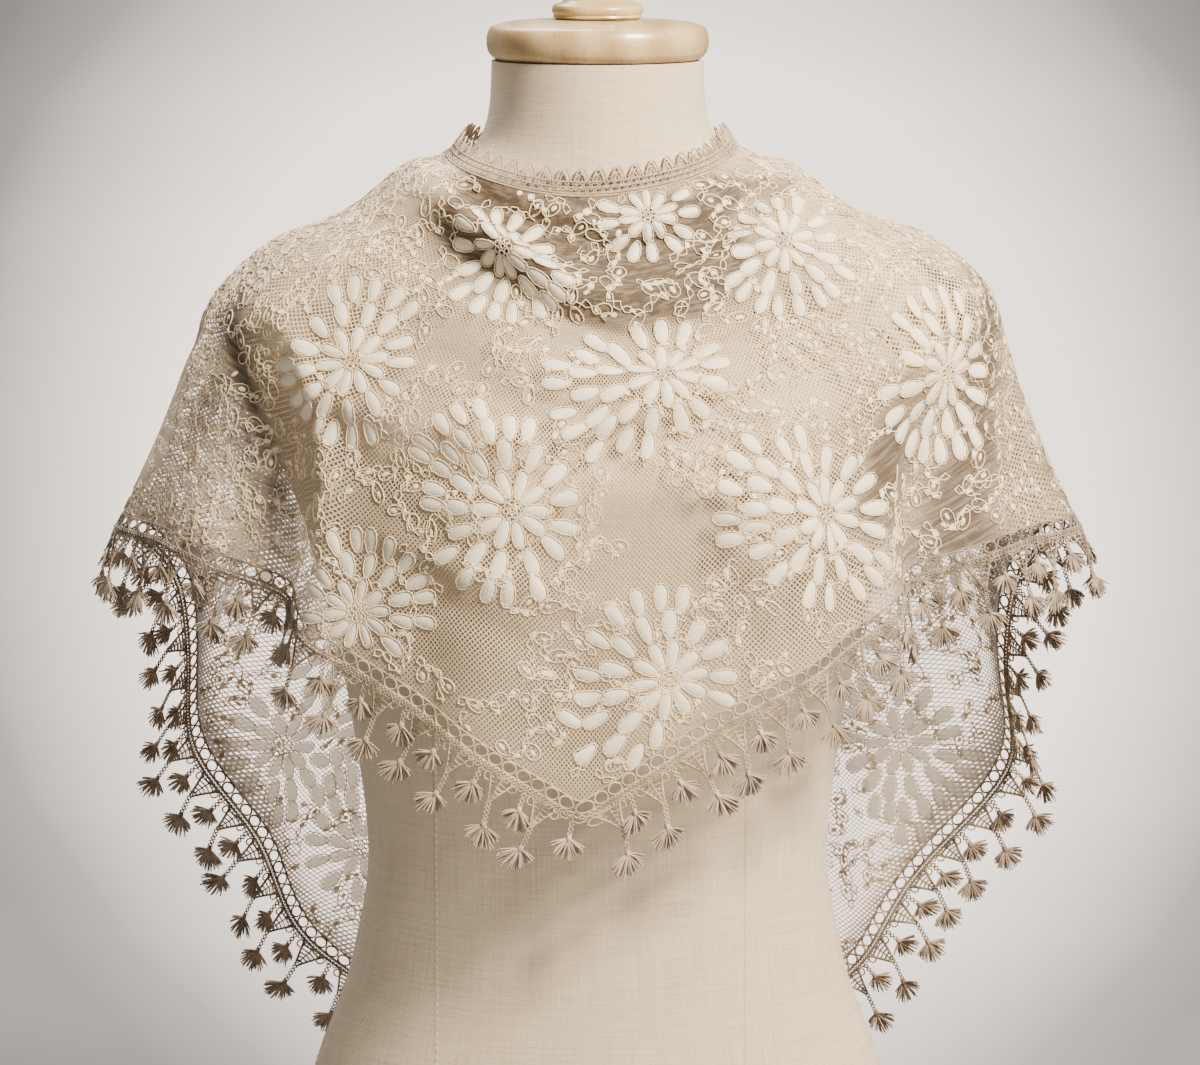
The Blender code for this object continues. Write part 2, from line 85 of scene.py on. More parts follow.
def around(count: int) -> list[float]:
    """Returns evenly spaced turns round a full circle, in radians."""
    return [math.tau * k / count for k in range(count)]


def oval(
    turns: Iterable[float], half_width: float, half_length: float, middle: Place = (0.0, 0.0)
) -> list[Place]:
    """Lays places on an oval.

    Args:
        turns: Where on the oval, in radians from its right-hand end.
        half_width: How far it reaches to either side of its middle.
        half_length: How far it reaches up and down from its middle.
        middle: Where its middle is.

    Returns:
        The places.
    """
    return [
        (middle[0] + half_width * math.cos(turn), middle[1] + half_length * math.sin(turn))
        for turn in turns
    ]


def angle_of(point: Vector) -> float:
    """Returns a point's angle round the neck's axis, in degrees."""
    return math.degrees(math.atan2(point.x, -point.y))


class Table:
    """A short table with named columns, read by its first column with smooth values between rows."""

    def __init__(self, columns: Sequence[str], rows: Sequence[Sequence[float]]) -> None:
        """Stores the columns and the slope of each at each row.

        Args:
            columns: Names of the columns, the first being the key.
            rows: Rows in rising order of the key.
        """
        self.keys = [row[0] for row in rows]
        self.values = {name: [row[k] for row in rows] for k, name in enumerate(columns)}
        self.slopes = {name: self._tangents(values) for name, values in self.values.items()}

    def _tangents(self, values: Sequence[float]) -> list[float]:
        """Returns slopes that never overshoot the rows on either side."""
        steps = [b - a for a, b in zip(self.keys, self.keys[1:])]
        rises = [(b - a) / step for a, b, step in zip(values, values[1:], steps)]
        inner = [
            0.0 if left * right <= 0 else 2 * left * right / (left + right)
            for left, right in zip(rises, rises[1:])
        ]
        return [rises[0], *inner, rises[-1]]

    def at(self, name: str, key: float) -> float:
        """Returns the value of a column at a key.

        Args:
            name: The column.
            key: Where to read it; held to the table's ends.

        Returns:
            The smooth value.
        """
        keys = self.keys
        key = min(max(key, keys[0]), keys[-1])
        row = 0
        while row < len(keys) - 2 and key > keys[row + 1]:
            row += 1
        step = keys[row + 1] - keys[row]
        t = (key - keys[row]) / step
        low, high = self.values[name][row], self.values[name][row + 1]
        rise_low, rise_high = self.slopes[name][row], self.slopes[name][row + 1]
        return (
            low * (1 + 2 * t) * (1 - t) ** 2
            + high * t * t * (3 - 2 * t)
            + step * (rise_low * t * (1 - t) ** 2 + rise_high * t * t * (t - 1))
        )


@dataclass
class TorsoShape:
    """The padded torso's skin: its half width and depths at each height."""

    top: float = 0.735
    bust_angle: float = 31.0
    bust_spread: float = 19.0
    bust_height: float = 0.512
    bust_rise: float = 0.048
    bust_depth: float = 0.012
    sections: Table = field(
        default_factory=lambda: Table(
            ("height", "half_width", "front", "back"),
            (
                (0.000, 0.1710, 0.0990, 0.1170),
                (0.012, 0.1750, 0.1030, 0.1210),
                (0.050, 0.1765, 0.1040, 0.1220),
                (0.110, 0.1710, 0.1020, 0.1190),
                (0.177, 0.1575, 0.0960, 0.1080),
                (0.240, 0.1360, 0.0890, 0.0950),
                (0.300, 0.1265, 0.0860, 0.0870),
                (0.373, 0.1345, 0.0930, 0.0910),
                (0.430, 0.1460, 0.1060, 0.0990),
                (0.470, 0.1560, 0.1170, 0.1060),
                (0.510, 0.1690, 0.1210, 0.1110),
                (0.550, 0.1920, 0.1130, 0.1095),
                (0.570, 0.2000, 0.1060, 0.1065),
                (0.590, 0.2010, 0.0970, 0.1020),
                (0.605, 0.1950, 0.0890, 0.0965),
                (0.620, 0.1800, 0.0815, 0.0900),
                (0.640, 0.1500, 0.0720, 0.0810),
                (0.655, 0.1240, 0.0660, 0.0740),
                (0.670, 0.0980, 0.0625, 0.0685),
                (0.680, 0.0800, 0.0608, 0.0655),
                (0.690, 0.0660, 0.0595, 0.0630),
                (0.700, 0.0605, 0.0585, 0.0610),
                (0.715, 0.0578, 0.0575, 0.0585),
                (0.735, 0.0570, 0.0570, 0.0570),
            ),
        )
    )

    def radius(self, angle: float, height: float) -> float:
        """Returns how far the skin is from the upright axis."""
        sine, cosine = math.sin(math.radians(angle)), math.cos(math.radians(angle))
        depth = self.sections.at("front" if cosine > 0 else "back", height)
        radius = 1 / math.hypot(sine / self.sections.at("half_width", height), cosine / depth)
        turned = abs(math.degrees(math.atan2(sine, cosine)))
        swell = bump(turned - self.bust_angle, self.bust_spread)
        return radius + self.bust_depth * swell * bump(height - self.bust_height, self.bust_rise)

    def skin(self, angle: float, height: float, out: float = 0.0) -> Vector:
        """Returns a point this far out from the skin."""
        return point_at(angle, self.radius(angle, height) + out, height)


@dataclass
class Fold:
    """A fold along a line of places on the cloth, each an angle and a height."""

    places: tuple[Place, ...]
    left: float
    right: float
    out: float
    radius: float = 0.17

    def __post_init__(self) -> None:
        """Lays the line out flat and measures it."""
        self.line = [Vector((math.radians(angle) * self.radius, height)) for angle, height in self.places]
        self.runs = [second - first for first, second in zip(self.line, self.line[1:])]
        self.total = sum(run.length for run in self.runs)
        reach = 2.5 * max(self.left, self.right)
        sides = [sorted(spot[axis] for spot in self.line) for axis in (0, 1)]
        self.box = [(values[0] - reach, values[-1] + reach) for values in sides]

    def depth(self, angle: float, height: float) -> float:
        """Returns how far the fold stands out at a place.

        Args:
            angle: Angle round the neck, in degrees.
            height: Height on the cloth.

        Returns:
            The distance, negative in a trough.
        """
        spot = Vector((math.radians(angle) * self.radius, height))
        if any(not low < value < high for value, (low, high) in zip(spot, self.box)):
            return 0.0
        nearest, aside, along, passed = 1.0, 0.0, 0.0, 0.0
        for start, run in zip(self.line, self.runs):
            share = min(max((spot - start).dot(run) / run.length_squared, 0.0), 1.0)
            off = spot - start - run * share
            if off.length < nearest:
                nearest = off.length
                aside = run.x * off.y - run.y * off.x
                along = passed + share * run.length
            passed += run.length
        ends = ease(4 * along / self.total) * ease(4 * (1 - along / self.total))
        return self.out * bump(nearest, self.left if aside > 0 else self.right) * ends


@dataclass
class Drape:
    """How the veil lies on the torso and hangs from it: the same sizes as the solid walls."""

    torso: TorsoShape
    thick: float = 0.0012
    skin_clearance: float = 0.0007
    hang_clearance: float = 0.0030
    break_height: float = 0.585
    neck_height: float = 0.6845
    neck_dip: float = 0.0175
    neck_curve: float = 1.3
    neck_turn: float = -8.0
    neck_back_drop: float = 0.0045
    neck_back_angles: Place = (85.0, 130.0)
    point_angle: float = -4.0
    last_angle: float = 194.0
    lap_top: float = 0.0024
    lap_hem: float = 0.0095
    lap_angles: Place = (130.0, 156.0)
    flare_top: float = 0.612
    flare_ease: float = 0.03
    flute_top: float = 0.600
    flute_growth: float = 0.12
    flute_power: float = 1.3
    hang_start: float = 0.01
    hang_ease: float = 0.03
    crease_ease: float = 0.02
    neck_ring_share: float = 0.4
    flat_radius: float = 0.17
    hang: Table = field(
        default_factory=lambda: Table(
            ("angle", "flare", "hem"),
            (
                (0, 0.04, 0.356),
                (15, 0.04, 0.379),
                (33, 0.05, 0.409),
                (52, 0.09, 0.437),
                (63, 0.15, 0.458),
                (72, 0.19, 0.473),
                (82, 0.40, 0.486),
                (90, 0.52, 0.487),
                (93, 0.50, 0.484),
                (96, 0.42, 0.477),
                (100, 0.34, 0.461),
                (103, 0.31, 0.440),
                (107, 0.32, 0.405),
                (114, 0.33, 0.343),
                (124, 0.26, 0.270),
                (134, 0.20, 0.207),
                (150, 0.12, 0.152),
                (165, 0.08, 0.114),
                (180, 0.07, 0.090),
                (194, 0.07, 0.076),
            ),
        )
    )
    # Upright flutes: angle, half width in degrees, how far it stands out at the hem
    flutes: tuple[Triple, ...] = (
        (-147, 8.0, -0.012), (-134, 7.0, 0.008), (-122, 6.5, -0.014), (-107, 6.0, -0.009),
        (-84, 5.5, -0.006), (-67, 5.5, -0.017), (-56, 5.0, 0.006), (-36, 8.0, -0.005),
        (22, 9.0, -0.004), (42, 7.0, 0.005),
        (57, 5.0, 0.004), (68, 5.5, -0.018), (83, 5.0, -0.007), (107, 6.0, -0.010),
        (118, 6.0, 0.006), (128, 7.0, -0.013), (142, 7.5, 0.008), (158, 8.0, -0.006),
    )
    # Swags: height in front and over the shoulder, how far it stands out, half its depth above, below
    swags: tuple[tuple[float, float, float, float, float], ...] = (
        (0.648, 0.682, 0.0050, 0.0095, 0.0095),
        (0.614, 0.670, 0.0100, 0.0060, 0.0150),
        (0.570, 0.630, 0.0045, 0.0120, 0.0140),
        (0.522, 0.603, 0.0030, 0.0150, 0.0150),
    )
    swag_turn: float = 8.0
    swag_back_share: float = 0.45
    swag_back_angles: Place = (60.0, 140.0)
    # The puff over each shoulder: side, height, half its height, how far it stands out
    puffs: tuple[tuple[float, float, float, float], ...] = (
        (-1, 0.597, 0.050, 0.0065),
        (1, 0.608, 0.042, 0.0110),
    )
    puff_angles: tuple[float, float, float, float] = (50.0, 70.0, 105.0, 125.0)
    # Bands where the net lies gathered or double, darkened also as painted shade in troughs and beside
    # folds:
    # half width to the left and to the right of a line, how closely, and the line's places (angle, height)
    gather_and_shade_lines: tuple[tuple[Any, ...], ...] = (
        (0.024, 0.026, 2.0, (-70, 0.676), (-52, 0.665), (-32, 0.655), (-10, 0.646), (8, 0.640),
         (26, 0.641), (44, 0.650), (62, 0.664)),
        (0.030, 0.030, 0.42, (-84, 0.636), (-40, 0.618), (0, 0.604), (40, 0.616), (84, 0.636)),
        (0.026, 0.024, 0.80, (72, 0.600), (66, 0.550), (63, 0.500), (61, 0.450)),
        (0.034, 0.030, 0.85, (104, 0.620), (94, 0.560), (90, 0.480)),
        (0.010, 0.010, 0.75, (-16, 0.631), (0, 0.624), (14, 0.621), (30, 0.624), (44, 0.632)),
        (0.011, 0.011, 0.9, (40, 0.668), (60, 0.670), (78, 0.674)),
        (0.009, 0.012, 1.0, (-90, 0.650), (-81, 0.610), (-74, 0.560), (-69, 0.500), (-67, 0.455)),
        (0.014, 0.011, 1.0, (94, 0.650), (86, 0.610), (79, 0.560), (74, 0.500), (71, 0.460)),
        (0.012, 0.014, 0.50, (-64, 0.560), (-56, 0.520), (-42, 0.497), (-26, 0.480)),
        (0.014, 0.012, 0.50, (64, 0.560), (58, 0.520), (50, 0.480)),
        (0.010, 0.014, 0.35, (-60, 0.600), (-40, 0.585), (-14, 0.566), (4, 0.556)),
        (0.010, 0.012, 0.35, (30, 0.560), (46, 0.545), (60, 0.550)),
        (0.008, 0.008, 0.8, (-102, 0.640), (-99, 0.570), (-97, 0.500)),
        (0.008, 0.008, 0.8, (104, 0.640), (100, 0.570), (98, 0.500)),
    )
    # Smaller folds: half width to the left and to the right of a line, how far out, and its places
    folds: tuple[tuple[Any, ...], ...] = (
        (0.006, 0.011, -0.0040, (-66, 0.668), (-50, 0.640), (-15, 0.606), (8, 0.592), (30, 0.600),
         (56, 0.618)),
        (0.007, 0.008, -0.0045, (-64, 0.684), (-36, 0.661), (-10, 0.643), (8, 0.633), (30, 0.640),
         (52, 0.655)),
        (0.006, 0.008, 0.0042, (60, 0.678), (72, 0.671), (78, 0.660), (77, 0.645), (66, 0.628),
         (50, 0.612)),
        (0.013, 0.006, 0.0036, (-80, 0.622), (-63, 0.566), (-43, 0.549), (-26, 0.543), (-9, 0.546),
         (10, 0.556), (25, 0.565), (40, 0.579), (62, 0.600)),
        (0.007, 0.010, -0.0024, (-72, 0.585), (-50, 0.530), (-26, 0.524), (-5, 0.530), (16, 0.542),
         (40, 0.560)),
        (0.0055, 0.004, 0.0040, (-78, 0.612), (-67, 0.585), (-60, 0.555), (-57, 0.515), (-55, 0.455)),
        (0.006, 0.006, -0.0040, (-82, 0.600), (-73, 0.560), (-68, 0.520), (-67, 0.475)),
        (0.004, 0.0055, 0.0036, (78, 0.605), (70, 0.570), (63, 0.530), (59, 0.490), (57, 0.450)),
        (0.006, 0.006, -0.0036, (86, 0.600), (76, 0.560), (70, 0.520), (68, 0.480)),
        (0.010, 0.007, 0.0024, (-60, 0.512), (-49, 0.498), (-35, 0.4825), (-8, 0.4634), (14, 0.446)),
        (0.008, 0.008, -0.0018, (-40, 0.470), (-20, 0.446), (-4, 0.420), (0, 0.380)),
        (0.008, 0.010, 0.0024, (12, 0.524), (30, 0.514), (46, 0.492), (54, 0.466)),
        (0.007, 0.007, -0.0020, (22, 0.500), (30, 0.470), (33, 0.430)),
        (0.005, 0.007, 0.0042, (-72, 0.672), (-54, 0.653), (-36, 0.639), (-16, 0.629), (6, 0.623),
         (26, 0.627)),
        (0.003, 0.004, 0.0016, (-46, 0.668), (-34, 0.652), (-20, 0.641)),
        (0.003, 0.004, -0.0014, (-30, 0.668), (-18, 0.655), (-2, 0.647), (14, 0.650)),
        (0.004, 0.004, 0.0016, (40, 0.672), (30, 0.655), (16, 0.640)),
        (0.006, 0.006, 0.0032, (-96, 0.660), (-88, 0.620), (-84, 0.560), (-84, 0.500)),
        (0.005, 0.006, -0.0036, (-100, 0.630), (-96, 0.570), (-95, 0.500)),
        (0.006, 0.006, 0.0032, (94, 0.655), (90, 0.610), (88, 0.560), (88, 0.500)),
        (0.006, 0.005, -0.0036, (104, 0.630), (99, 0.570), (97, 0.500)),
        (0.008, 0.010, -0.0030, (108, 0.655), (122, 0.600), (134, 0.540), (142, 0.470)),
        (0.010, 0.008, -0.0030, (-110, 0.655), (-124, 0.600), (-136, 0.540), (-143, 0.470)),
        (0.007, 0.007, 0.0030, (150, 0.650), (140, 0.590), (132, 0.500), (126, 0.400)),
        (0.007, 0.007, 0.0030, (-152, 0.646), (-142, 0.590), (-133, 0.490), (-127, 0.390)),
        (0.006, 0.007, -0.0036, (124, 0.570), (118, 0.480), (114, 0.380)),
        (0.006, 0.007, -0.0036, (-122, 0.570), (-117, 0.480), (-113, 0.380)),
        (0.008, 0.008, -0.0034, (146, 0.480), (140, 0.360), (137, 0.250)),
        (0.008, 0.008, -0.0034, (-147, 0.480), (-142, 0.360), (-139, 0.250)),
        (0.009, 0.009, 0.0028, (170, 0.600), (162, 0.480), (166, 0.340), (170, 0.200)),
        (0.009, 0.009, 0.0024, (-168, 0.600), (-160, 0.480), (-163, 0.340), (-166, 0.210)),
        (0.007, 0.007, -0.0020, (182, 0.560), (176, 0.440), (180, 0.300)),
    )

    def __post_init__(self) -> None:
        """Makes the folds of the two tables."""
        self.bands, self.creases = (
            [Fold(tuple(places), left, right, out) for left, right, out, *places in rows]
            for rows in (self.gather_and_shade_lines, self.folds)
        )

    def neck_edge(self, angle: float) -> float:
        """Returns the height of the veil's long edge round the neck."""
        front = max(0.0, math.cos(math.radians(angle - self.neck_turn))) ** self.neck_curve
        first, last = self.neck_back_angles
        behind = ease((abs(angle) - first) / (last - first))
        return self.neck_height - self.neck_dip * front - self.neck_back_drop * behind

    def neck_ring(self, angle: float) -> float:
        """Returns a height on the neck above the veil's edge, for the way its picots point."""
        edge = self.neck_edge(angle)
        return edge + self.neck_ring_share * (self.torso.top - edge)

    def hem_height(self, angle: float) -> float:
        """Returns the height of the hem."""
        shift = -self.point_angle * max(0.0, math.cos(math.radians(angle)))
        return self.hang.at("hem", abs(angle + shift))

    def level(self, angle: float, share: float) -> float:
        """Returns the height at a share of the way down: half of it reaches the shoulder's break."""
        top = self.neck_edge(angle)
        if share <= 0.5:
            return top + (self.break_height - top) * share * 2
        return self.break_height + (self.hem_height(angle) - self.break_height) * (share * 2 - 1)

    def flare(self, angle: float, height: float) -> float:
        """Returns how far the cloth stands off the shoulders by the slope of its fall."""
        drop = max(0.0, self.flare_top - height)
        soft = self.flare_ease
        ramp = drop * drop / (2 * soft) if drop < soft else drop - soft / 2
        return self.hang.at("flare", min(abs(angle), 360 - abs(angle))) * ramp

    def fluting(self, angle: float, height: float) -> float:
        """Returns how far the upright flutes stand out."""
        growth = min(max((self.flute_top - height) / self.flute_growth, 0.0), 1.0) ** self.flute_power
        return growth * sum(out * bump(angle - middle, width) for middle, width, out in self.flutes)

    def swagging(self, angle: float, height: float) -> float:
        """Returns how far the rolls of the cowl and the swags under it stand out."""
        first, last = self.swag_back_angles
        share = 1 - (1 - self.swag_back_share) * ease((abs(angle) - first) / (last - first))
        total = 0.0
        turned = math.sin(math.radians(min(abs(angle - self.swag_turn), 90.0))) ** 2
        for front, side, out, above, below in self.swags:
            off = height - front - (side - front) * turned
            total += out * bump(off, above if off > 0 else below)
        return share * total

    def gather_and_shade(self, angle: float, height: float) -> float:
        """Returns how closely the net is gathered, and how much painted shade lies on it, from 0 to 1."""
        return min(1.0, sum(band.depth(angle, height) for band in self.bands))

    def puff(self, angle: float, height: float) -> float:
        """Returns how far the cloth stands off the outer shoulder."""
        side, middle, deep, out = self.puffs[0] if angle < 0 else self.puffs[1]
        first, full, last, none = self.puff_angles
        turned = angle * side
        share = ease((turned - first) / (full - first)) * ease((none - turned) / (none - last))
        return share * out * bump(height - middle, deep)

    def lap(self, angle: float, share: float) -> float:
        """Returns how far the right end lies out over the left end down the back."""
        if angle < 0:
            return 0.0
        low, high = self.lap_angles
        return ease((angle - low) / (high - low)) * (self.lap_top + (self.lap_hem - self.lap_top) * share)

    def creasing(self, angle: float, height: float) -> float:
        """Returns how far the smaller folds stand out at a place."""
        return sum(fold.depth(angle, height) for fold in self.creases)

    def column(self, angle: float, shares: Sequence[float]) -> list[Vector]:
        """Returns the points of one column of the cloth before its clearance and swags."""
        points: list[Vector] = []
        widest = 0.0
        for share in shares:
            height = self.level(angle, share)
            skin = self.torso.radius(angle, height)
            widest = max(widest, skin) if height <= self.break_height else skin
            hanging = widest + self.flare(angle, height) + self.fluting(angle, height)
            points.append(point_at(angle, max(hanging, skin), height))
        return points

    def offset(self, angle: float, share: float, height: float) -> float:
        """Returns how far the middle of the cloth lies out from its column."""
        hang = ease((self.break_height + self.hang_start - height) / self.hang_ease)
        clearance = self.skin_clearance + (self.hang_clearance - self.skin_clearance) * hang
        folds = self.swagging(angle, height) + self.puff(angle, height) + self.lap(angle, share)
        below_neck = ease((self.neck_edge(angle) - height) / self.crease_ease)
        creases = self.creasing(angle, height) * below_neck
        return max(clearance + self.thick / 2 + folds + creases, self.skin_clearance + self.thick / 2)


def outward(grid: list[list[Vector]]) -> list[list[Vector]]:
    """Returns the outward directions of a grid of points, columns first."""
    last_column, last_row = len(grid) - 1, len(grid[0]) - 1
    normals = []
    for i, column in enumerate(grid):
        left, right = grid[max(i - 1, 0)], grid[min(i + 1, last_column)]
        downs = (column[min(j + 1, last_row)] - column[max(j - 1, 0)] for j in range(last_row + 1))
        normals.append([down.cross(right[j] - left[j]).normalized() for j, down in enumerate(downs)])
    return normals


class ClothMap:
    """The worn veil as a fine grid; places on it are found by walking over its surface."""

    # How far up a full turn moves a spot that crowds are kept by
    TURN_RISE = 0.12

    def __init__(self, drape: Drape, columns: int, rows: int) -> None:
        """Works out the grid.

        Args:
            drape: The veil's sizes.
            columns: Number of gaps between columns.
            rows: Number of gaps between rows.
        """
        self.drape = drape
        self.columns = columns
        self.rows = rows
        last = drape.last_angle
        self.angles = [-last + 2 * last * k / columns for k in range(columns + 1)]
        self.shares = [k / rows for k in range(rows + 1)]
        base = [drape.column(angle, self.shares) for angle in self.angles]
        out = outward(base)
        self.points = [
            [
                point + out[i][j] * drape.offset(angle, self.shares[j], point.z)
                for j, point in enumerate(base[i])
            ]
            for i, angle in enumerate(self.angles)
        ]
        self.normals = outward(self.points)

    def spot(self, place: Place) -> Vector:
        """Returns a place in space, moved on with its angle so that the two lapped ends lie apart."""
        angle = 2 * self.drape.last_angle * place[0] / self.columns
        return self.sample(place)[0] + Vector((0.0, 0.0, self.TURN_RISE * angle / 360))

    def find(self, angle: float, height: float) -> Place:
        """Returns the grid place of an angle and a height."""
        column = (angle + self.drape.last_angle) / (2 * self.drape.last_angle) * self.columns
        low, high = 0.0, 1.0
        while high - low > 1e-5:
            middle = (low + high) / 2
            if self.drape.level(angle, middle) > height:
                low = middle
            else:
                high = middle
        return column, low * self.rows

    def sample(self, place: Place) -> tuple[Vector, Vector, Vector, Vector]:
        """Reads the surface at a place.

        Args:
            place: Column and row, with fractions.

        Returns:
            The point, the outward direction, and the steps of one column and of one row.
        """
        i = min(max(int(place[0]), 0), self.columns - 1)
        j = min(max(int(place[1]), 0), self.rows - 1)
        s, t = place[0] - i, place[1] - j
        near, far = self.points[i], self.points[i + 1]
        upper = near[j].lerp(far[j], s)
        lower = near[j + 1].lerp(far[j + 1], s)
        across = (far[j] - near[j]).lerp(far[j + 1] - near[j + 1], t)
        normal = self.normals[i][j].lerp(self.normals[i + 1][j + 1], (s + t) / 2)
        return upper.lerp(lower, t), normal.normalized(), across, lower - upper

    def walk(self, start: Place, heading: float, length: float, stride: float = 0.004) -> Optional[Place]:
        """Walks over the cloth.

        Args:
            start: Where to start, as column and row.
            heading: Direction in radians, 0 towards +column and a quarter turn towards the neck.
            length: How far to go, in metres.
            stride: The longest single step.

        Returns:
            The place reached, or None past an edge.
        """
        column, row = start
        count = max(1, math.ceil(length / stride))
        step = length / count
        cosine, sine = math.cos(heading), math.sin(heading)
        for _ in range(count):
            _, normal, across, down = self.sample((column, row))
            level = across.normalized()
            up = normal.cross(level)
            if up.dot(down) > 0:
                up = -up
            way = level * cosine + up * sine
            aa, ad, dd = across.dot(across), across.dot(down), down.dot(down)
            wa, wd = way.dot(across), way.dot(down)
            spread = aa * dd - ad * ad
            column += step * (wa * dd - wd * ad) / spread
            row += step * (wd * aa - wa * ad) / spread
            if not (0 <= column <= self.columns and 0 <= row <= self.rows):
                return None
        return column, row

    def lay(
        self, centre: Place, turn: float, across: float, along: float, raised: float
    ) -> Optional[Vector]:
        """Lays a point of a motif on the cloth.

        Args:
            centre: The motif's own place.
            turn: How far the motif is turned, in radians.
            across: The point's place across the motif, in metres.
            along: The point's place along the motif, in metres.
            raised: How far it stands off the cloth.

        Returns:
            The point, or None past an edge.
        """
        length = math.hypot(across, along)
        place = centre if length < 1e-7 else self.walk(centre, math.atan2(along, across) + turn, length)
        if place is None:
            return None
        point, normal, _, _ = self.sample(place)
        return point + normal * raised


class EdgeLine:
    """A free edge of the veil: points along it, the way off the cloth, and the way out."""

    def __init__(self, points: list[Vector], away: list[Vector], out: list[Vector]) -> None:
        """Stores the line and its length at each point."""
        self.points, self.away, self.out = points, away, out
        self.along = [0.0]
        for first, second in zip(points, points[1:]):
            self.along.append(self.along[-1] + (second - first).length)
        self.length = self.along[-1]
        self._last = 0

    @classmethod
    def beside(cls, edge: list[Vector], inner: list[Vector], out: list[Vector]) -> "EdgeLine":
        """Makes a line from an edge's points, the next points inside the cloth, and the ways out."""
        away = []
        for k, point in enumerate(edge):
            run = edge[min(k + 1, len(edge) - 1)] - edge[max(k - 1, 0)]
            off = point - inner[k]
            away.append((off - run * (off.dot(run) / run.length_squared)).normalized())
        return cls(edge, away, out)

    def at(self, along: float) -> tuple[Vector, Vector, Vector]:
        """Returns the point, the way off the cloth and the way out at a distance along the edge."""
        k = self._last if along >= self.along[self._last] else 0
        while k < len(self.along) - 2 and along > self.along[k + 1]:
            k += 1
        self._last = k
        t = (along - self.along[k]) / (self.along[k + 1] - self.along[k])
        point = self.points[k].lerp(self.points[k + 1], t)
        away = self.away[k].lerp(self.away[k + 1], t).normalized()
        out = self.out[k].lerp(self.out[k + 1], t)
        return point, away, (out - away * out.dot(away)).normalized()

    def place(self, along: float, off: float, raised: float = 0.0) -> Vector:
        """Returns a point off the edge, square to it, and raised from the cloth."""
        point, away, out = self.at(along)
        return point + away * off + out * raised


class Crowd:
    """Spots in space, kept so that new ones can be held clear of them."""

    def __init__(self, cell: float = 0.012) -> None:
        """Starts an empty crowd; no distance asked for later is over the cell."""
        self.cell = cell
        self.spots: dict[tuple[int, ...], list[Vector]] = {}

    def _key(self, spot: Vector) -> tuple[int, ...]:
        """Returns the cell that a spot lies in."""
        return tuple(math.floor(value / self.cell) for value in spot)

    def add(self, spot: Vector) -> None:
        """Adds a spot."""
        self.spots.setdefault(self._key(spot), []).append(spot)

    def clear(self, spot: Vector, distance: float) -> bool:
        """Returns whether no kept spot is nearer than a distance."""
        middle = self._key(spot)
        for step in itertools.product((-1, 0, 1), repeat=3):
            near = self.spots.get(tuple(a + b for a, b in zip(middle, step)), ())
            if any((other - spot).length < distance for other in near):
                return False
        return True


class CordSet:
    """Cords gathered into one mesh: each is a path with a thickness."""

    UNIT = 0.001

    def __init__(self, name: str) -> None:
        """Starts an empty set."""
        self.name = name
        self.paths: list[tuple[list[Vector], list[float], bool]] = []

    def add(
        self, points: Iterable[Optional[Vector]], radius: float, closed: bool = False,
        swell: Optional[Sequence[float]] = None,
    ) -> None:
        """Adds a cord, unless a point of it lies past the cloth's edge.

        Args:
            points: The path.
            radius: Half the cord's thickness.
            closed: Whether the path is a loop.
            swell: The share of the radius at each point.
        """
        path = list(points)
        if len(path) < 2 or any(point is None for point in path):
            return
        self.paths.append((path, [radius * s for s in swell] if swell else [radius] * len(path), closed))

    def build(self) -> bpy.types.Object:
        """Returns the cords as one mesh object."""
        curve = bpy.data.curves.new(self.name, "CURVE")
        curve.dimensions = "3D"
        curve.bevel_depth = self.UNIT
        curve.bevel_resolution = 0
        curve.use_fill_caps = True
        for path, radii, closed in self.paths:
            spline = curve.splines.new("POLY")
            spline.points.add(len(path) - 1)
            spline.points.foreach_set("co", [value for point in path for value in (*point, 1.0)])
            spline.points.foreach_set("radius", [radius / self.UNIT for radius in radii])
            spline.use_cyclic_u = closed
        drawn = link(self.name + "_path", curve)
        graph = bpy.context.evaluated_depsgraph_get()
        mesh = bpy.data.meshes.new_from_object(drawn.evaluated_get(graph))
        mesh.name = self.name
        mesh.materials.clear()
        bpy.data.objects.remove(drawn)
        mesh.shade_smooth()
        return link(self.name, mesh)


def link(name: str, data: bpy.types.ID) -> bpy.types.Object:
    """Returns a new object of a mesh, a curve, a camera or a light, linked to the scene."""
    made = bpy.data.objects.new(name, data)
    bpy.context.scene.collection.objects.link(made)
    return made


def from_bmesh(name: str, bm: bmesh.types.BMesh, smooth_angle: float = 50.0) -> bpy.types.Object:
    """Returns a new smooth-shaded object of a bmesh, which it frees."""
    mesh = bpy.data.meshes.new(name)
    bm.to_mesh(mesh)
    bm.free()
    mesh.shade_smooth()
    mesh.set_sharp_from_angle(angle=math.radians(smooth_angle))
    return link(name, mesh)


def extruded(
    bm: bmesh.types.BMesh, edges: Sequence[bmesh.types.BMEdge]
) -> tuple[list[bmesh.types.BMVert], list[bmesh.types.BMEdge]]:
    """Extrudes a row of edges.

    Args:
        bm: The bmesh that they are in.
        edges: The edges.

    Returns:
        The new row's vertices and edges, still where the old ones are.
    """
    grown = bmesh.ops.extrude_edge_only(bm, edges=edges)["geom"]
    verts = [item for item in grown if isinstance(item, bmesh.types.BMVert)]
    fresh = set(verts)
    return verts, [
        item for item in grown if isinstance(item, bmesh.types.BMEdge) and fresh.issuperset(item.verts)
    ]


